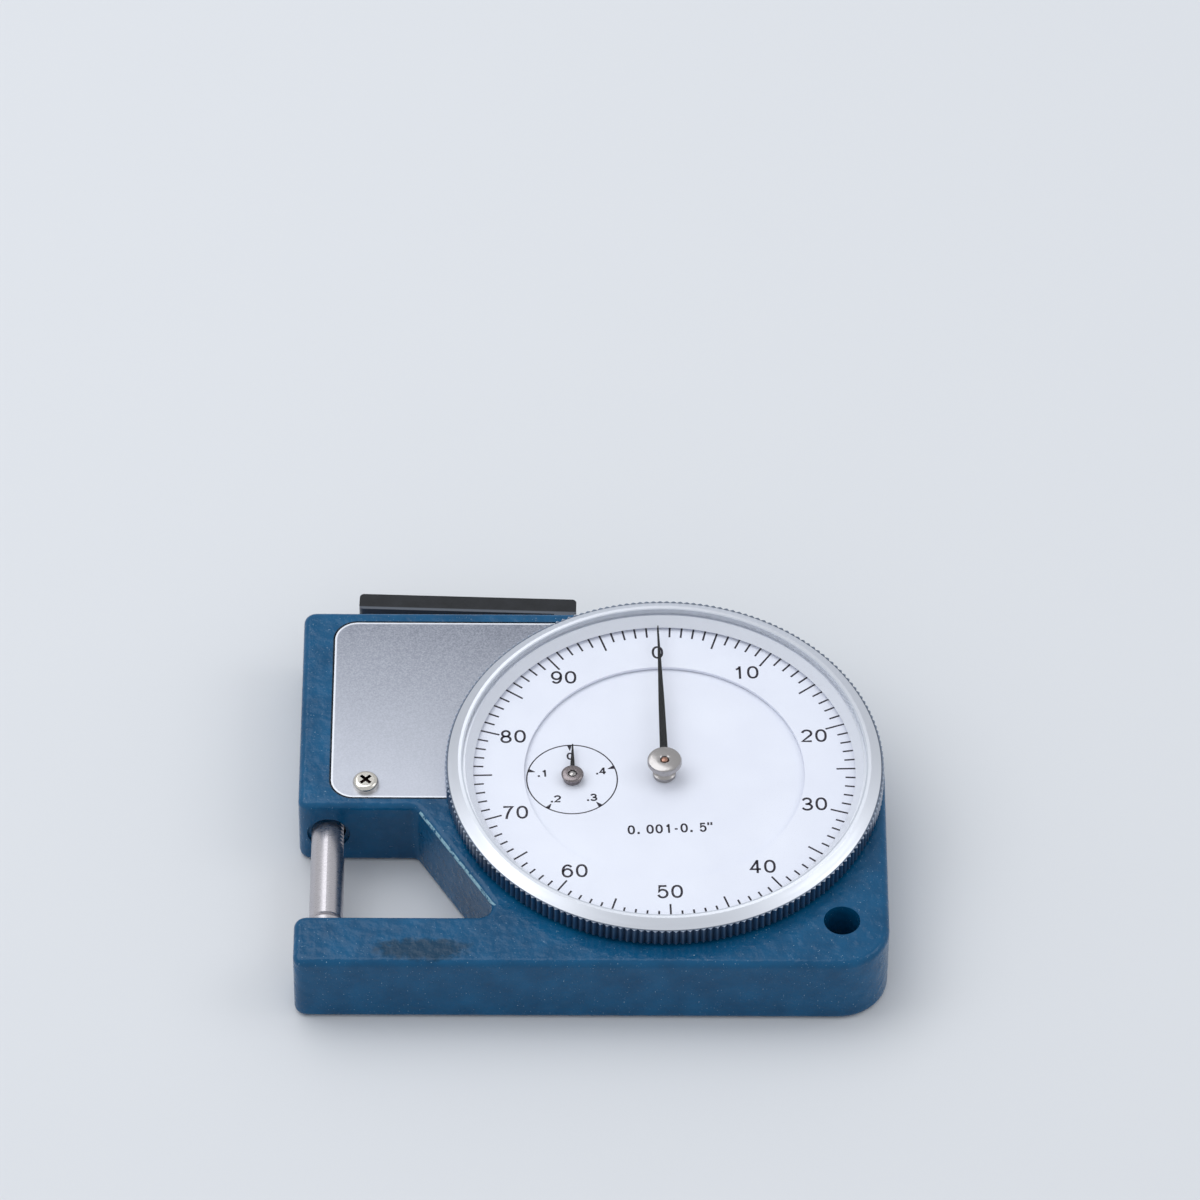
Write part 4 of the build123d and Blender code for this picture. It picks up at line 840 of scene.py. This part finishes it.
# %% Figures
SIX = [
    arc(0, -0.152, 0.285, 0.292, 0, 360, 24),
    [(-0.285, -0.152)] + arc(0.022, 0.0, 0.307, HALF_HIGH, 180, 42),
]
FIGURES = {
    "0": [arc(0, 0, HALF_WIDE, HALF_HIGH, 0, 360, 32, 0.88)],
    "1": [[(0.07, 0.5), (0.07, -0.5)], [(0.07, 0.40), (-0.02, 0.32), (-0.17, 0.24)]],
    "2": [arc(0, 0.19, HALF_WIDE - 0.005, HALF_HIGH - 0.19, 170, -42)
          + [(-HALF_WIDE, -HALF_HIGH), (HALF_WIDE, -HALF_HIGH)]],
    "3": [arc(-0.005, 0.222, 0.255, 0.222, 165, -90), [(-0.10, 0.0), (0.0, 0.0)],
          arc(0, -0.222, HALF_WIDE, 0.222, 90, -165)],
    "4": [[(0.12, 0.5), (0.12, -0.5)], [(0.11, 0.45), (-0.30, -0.20), (0.33, -0.20)]],
    "5": [[(0.25, HALF_HIGH), (-0.19, HALF_HIGH), (-0.245, 0.01)]
          + arc(-0.005, -0.147, 0.29, 0.297, 140, -162, 20)],
    "6": SIX,
    "7": [[(-0.29, HALF_HIGH), (0.29, HALF_HIGH), (0.14, 0.24), (0.01, -0.03),
           (-0.07, -0.28), (-0.10, -0.5)]],
    "8": [arc(0, 0.224, 0.238, 0.220, 0, 360, 24),
          arc(0, -0.218, 0.287, 0.226, 0, 360, 24)],
    "9": [[(-x, -y) for x, y in path] for path in SIX],
    ".": [[(0, -0.5), (0, -0.5 + 3.4 * PEN)]],
    "-": [[(-0.16, -0.08), (0.16, -0.08)]],
    '"': [[(-0.17, 0.54), (-0.17, 0.22)], [(0.17, 0.54), (0.17, 0.22)]],
    " ": [],
}
FIGURE_ADVANCE = 0.79
ADVANCE = {".": 0.45, " ": 0.40, "-": 0.60, '"': 0.45}
DOT_PEN = 1.15


def write(made, words, height_mm, place, z_mm, lean_degrees, wide, spread, pen=PEN):
    """Inks words centred on a place, turned anticlockwise by the lean."""
    steps = [ADVANCE.get(letter, FIGURE_ADVANCE) * wide * spread for letter in words]
    lean = math.radians(lean_degrees)
    across = -sum(steps) / 2
    for letter, step in zip(words, steps):
        for path in FIGURES[letter]:
            points = []
            for u, v in path:
                u = (across + step / 2 + u * wide) * height_mm
                v = v * height_mm
                points.append((
                    place[0] + u * math.cos(lean) - v * math.sin(lean),
                    place[1] + u * math.sin(lean) + v * math.cos(lean),
                ))
            stroke(made, points, pen * height_mm * (DOT_PEN if letter == "." else 1), z_mm)
        across += step


ink = Finish("dial_ink", srgb(24, 23, 30), 0.5, Specular_IOR_Level=0.3)
ink.roughness_from(ink.noise(4, detail=2), 0.38, 0.55)
ink.colour_from(
    ink.noise(1.5, detail=2), [(0.3, srgb(22, 17, 30)), (0.7, srgb(38, 31, 47))]
)
print("figures", "".join(FIGURES))

# %% [markdown]
# ## Print of the outer scale
#
# The outer scale is fixed to the turning ring, so it rides with the bezel. It has a
# hundred divisions, longer at every fifth, and it sits a little off the upright, as
# it was left when someone last set it to zero. The figures are a little narrow and set
# wide apart, and on the real plate they were placed by eye, so a few stand up to a
# millimetre off their circle.

# %% Print of the outer scale
RING_TURN = -1.7
DIVISIONS = 100
TICK_OUTER = 25.36
MINOR_INNER = 23.6
MAJOR_INNER = 22.45
TICK_HALF = 0.125
FIGURE_REACH = 20.6
FIGURE_HEIGHT = 2.2
FIGURE_WIDE = 0.93
FIGURE_SPREAD = 1.145
FIGURE_NUDGE = (
    (-0.2, 0.3), (-0.8, 0.4), (0.2, -0.55), (-0.35, 0.4), (0.0, 0.25),
    (0.0, 0.25), (-0.05, 0.1), (0.0, -0.1), (0.0, 0.25), (-0.6, 0.1),
)

scale_print = bmesh.new()
ring_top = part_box("graduated_ring")[1].z / MM - INK_SUNK_MM
for i in range(DIVISIONS):
    inner = MAJOR_INNER if i % 5 == 0 else MINOR_INNER
    angle = i * 3.6 + RING_TURN
    ends = [clock(inner, angle), clock(TICK_OUTER, angle)]
    stroke(scale_print, ends, TICK_HALF, ring_top)
for step, nudge in enumerate(FIGURE_NUDGE):
    x, y = clock(FIGURE_REACH, step * 36 + RING_TURN)
    place = (x + nudge[0], y + nudge[1])
    write(scale_print, str(step * 10), FIGURE_HEIGHT, place, ring_top, -RING_TURN,
          FIGURE_WIDE, FIGURE_SPREAD)
scale_piece = new_piece(
    "outer_scale_print", mesh_of(scale_print, "outer_scale_print"), "bezel_group", ink
)
print("scale faces", len(scale_piece.data.polygons), "ring top mm", round(ring_top, 3))

# %% [markdown]
# ## Print on the fixed disc
#
# The small scale counts whole turns of the main hand, a tenth of an inch each, so its
# five marks run the other way round, as its hand does. Marks are small wedges that
# stand on the circle. Below the centre is the generic range of such a gauge.

# %% Print of the fixed disc
DISC_TURN = -3.5
CIRCLE_AT = (-12.03, -0.86)
CIRCLE_R = 5.9
CIRCLE_HALF = 0.085
WEDGE_INNER = 5.0
WEDGE_HALVES = (0.04, 0.32)
COUNT_REACH = 4.0
COUNT_HEIGHT = 1.15
COUNT_WIDE = 1.05
SMALL_PEN = 0.105
RANGE_AT = (0.65, -9.2)
RANGE_HEIGHT = 1.5
RANGE_LEAN = 3.1
RANGE_WIDE = 0.80
RANGE_SPREAD = 1.24
RANGE_PEN = 0.085

disc_print = bmesh.new()
disc_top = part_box("inner_dial")[1].z / MM - INK_SUNK_MM
stroke(disc_print, arc(*CIRCLE_AT, CIRCLE_R, CIRCLE_R, 0, 360, 120), CIRCLE_HALF, disc_top)
for count in range(5):
    angle = -72 * count + DISC_TURN
    ends = [clock(WEDGE_INNER, angle, CIRCLE_AT), clock(CIRCLE_R, angle, CIRCLE_AT)]
    stroke(disc_print, ends, WEDGE_HALVES, disc_top)
    words = "." + str(count) if count else "0"
    write(disc_print, words, COUNT_HEIGHT, clock(COUNT_REACH, angle, CIRCLE_AT), disc_top,
          -DISC_TURN, COUNT_WIDE, 1.0, SMALL_PEN)
write(disc_print, '0. 001-0. 5"', RANGE_HEIGHT, RANGE_AT, disc_top, RANGE_LEAN,
      RANGE_WIDE, RANGE_SPREAD, RANGE_PEN)
disc_piece = new_piece(
    "inner_dial_print", mesh_of(disc_print, "inner_dial_print"), "frame", ink
)
print("disc print faces", len(disc_piece.data.polygons))
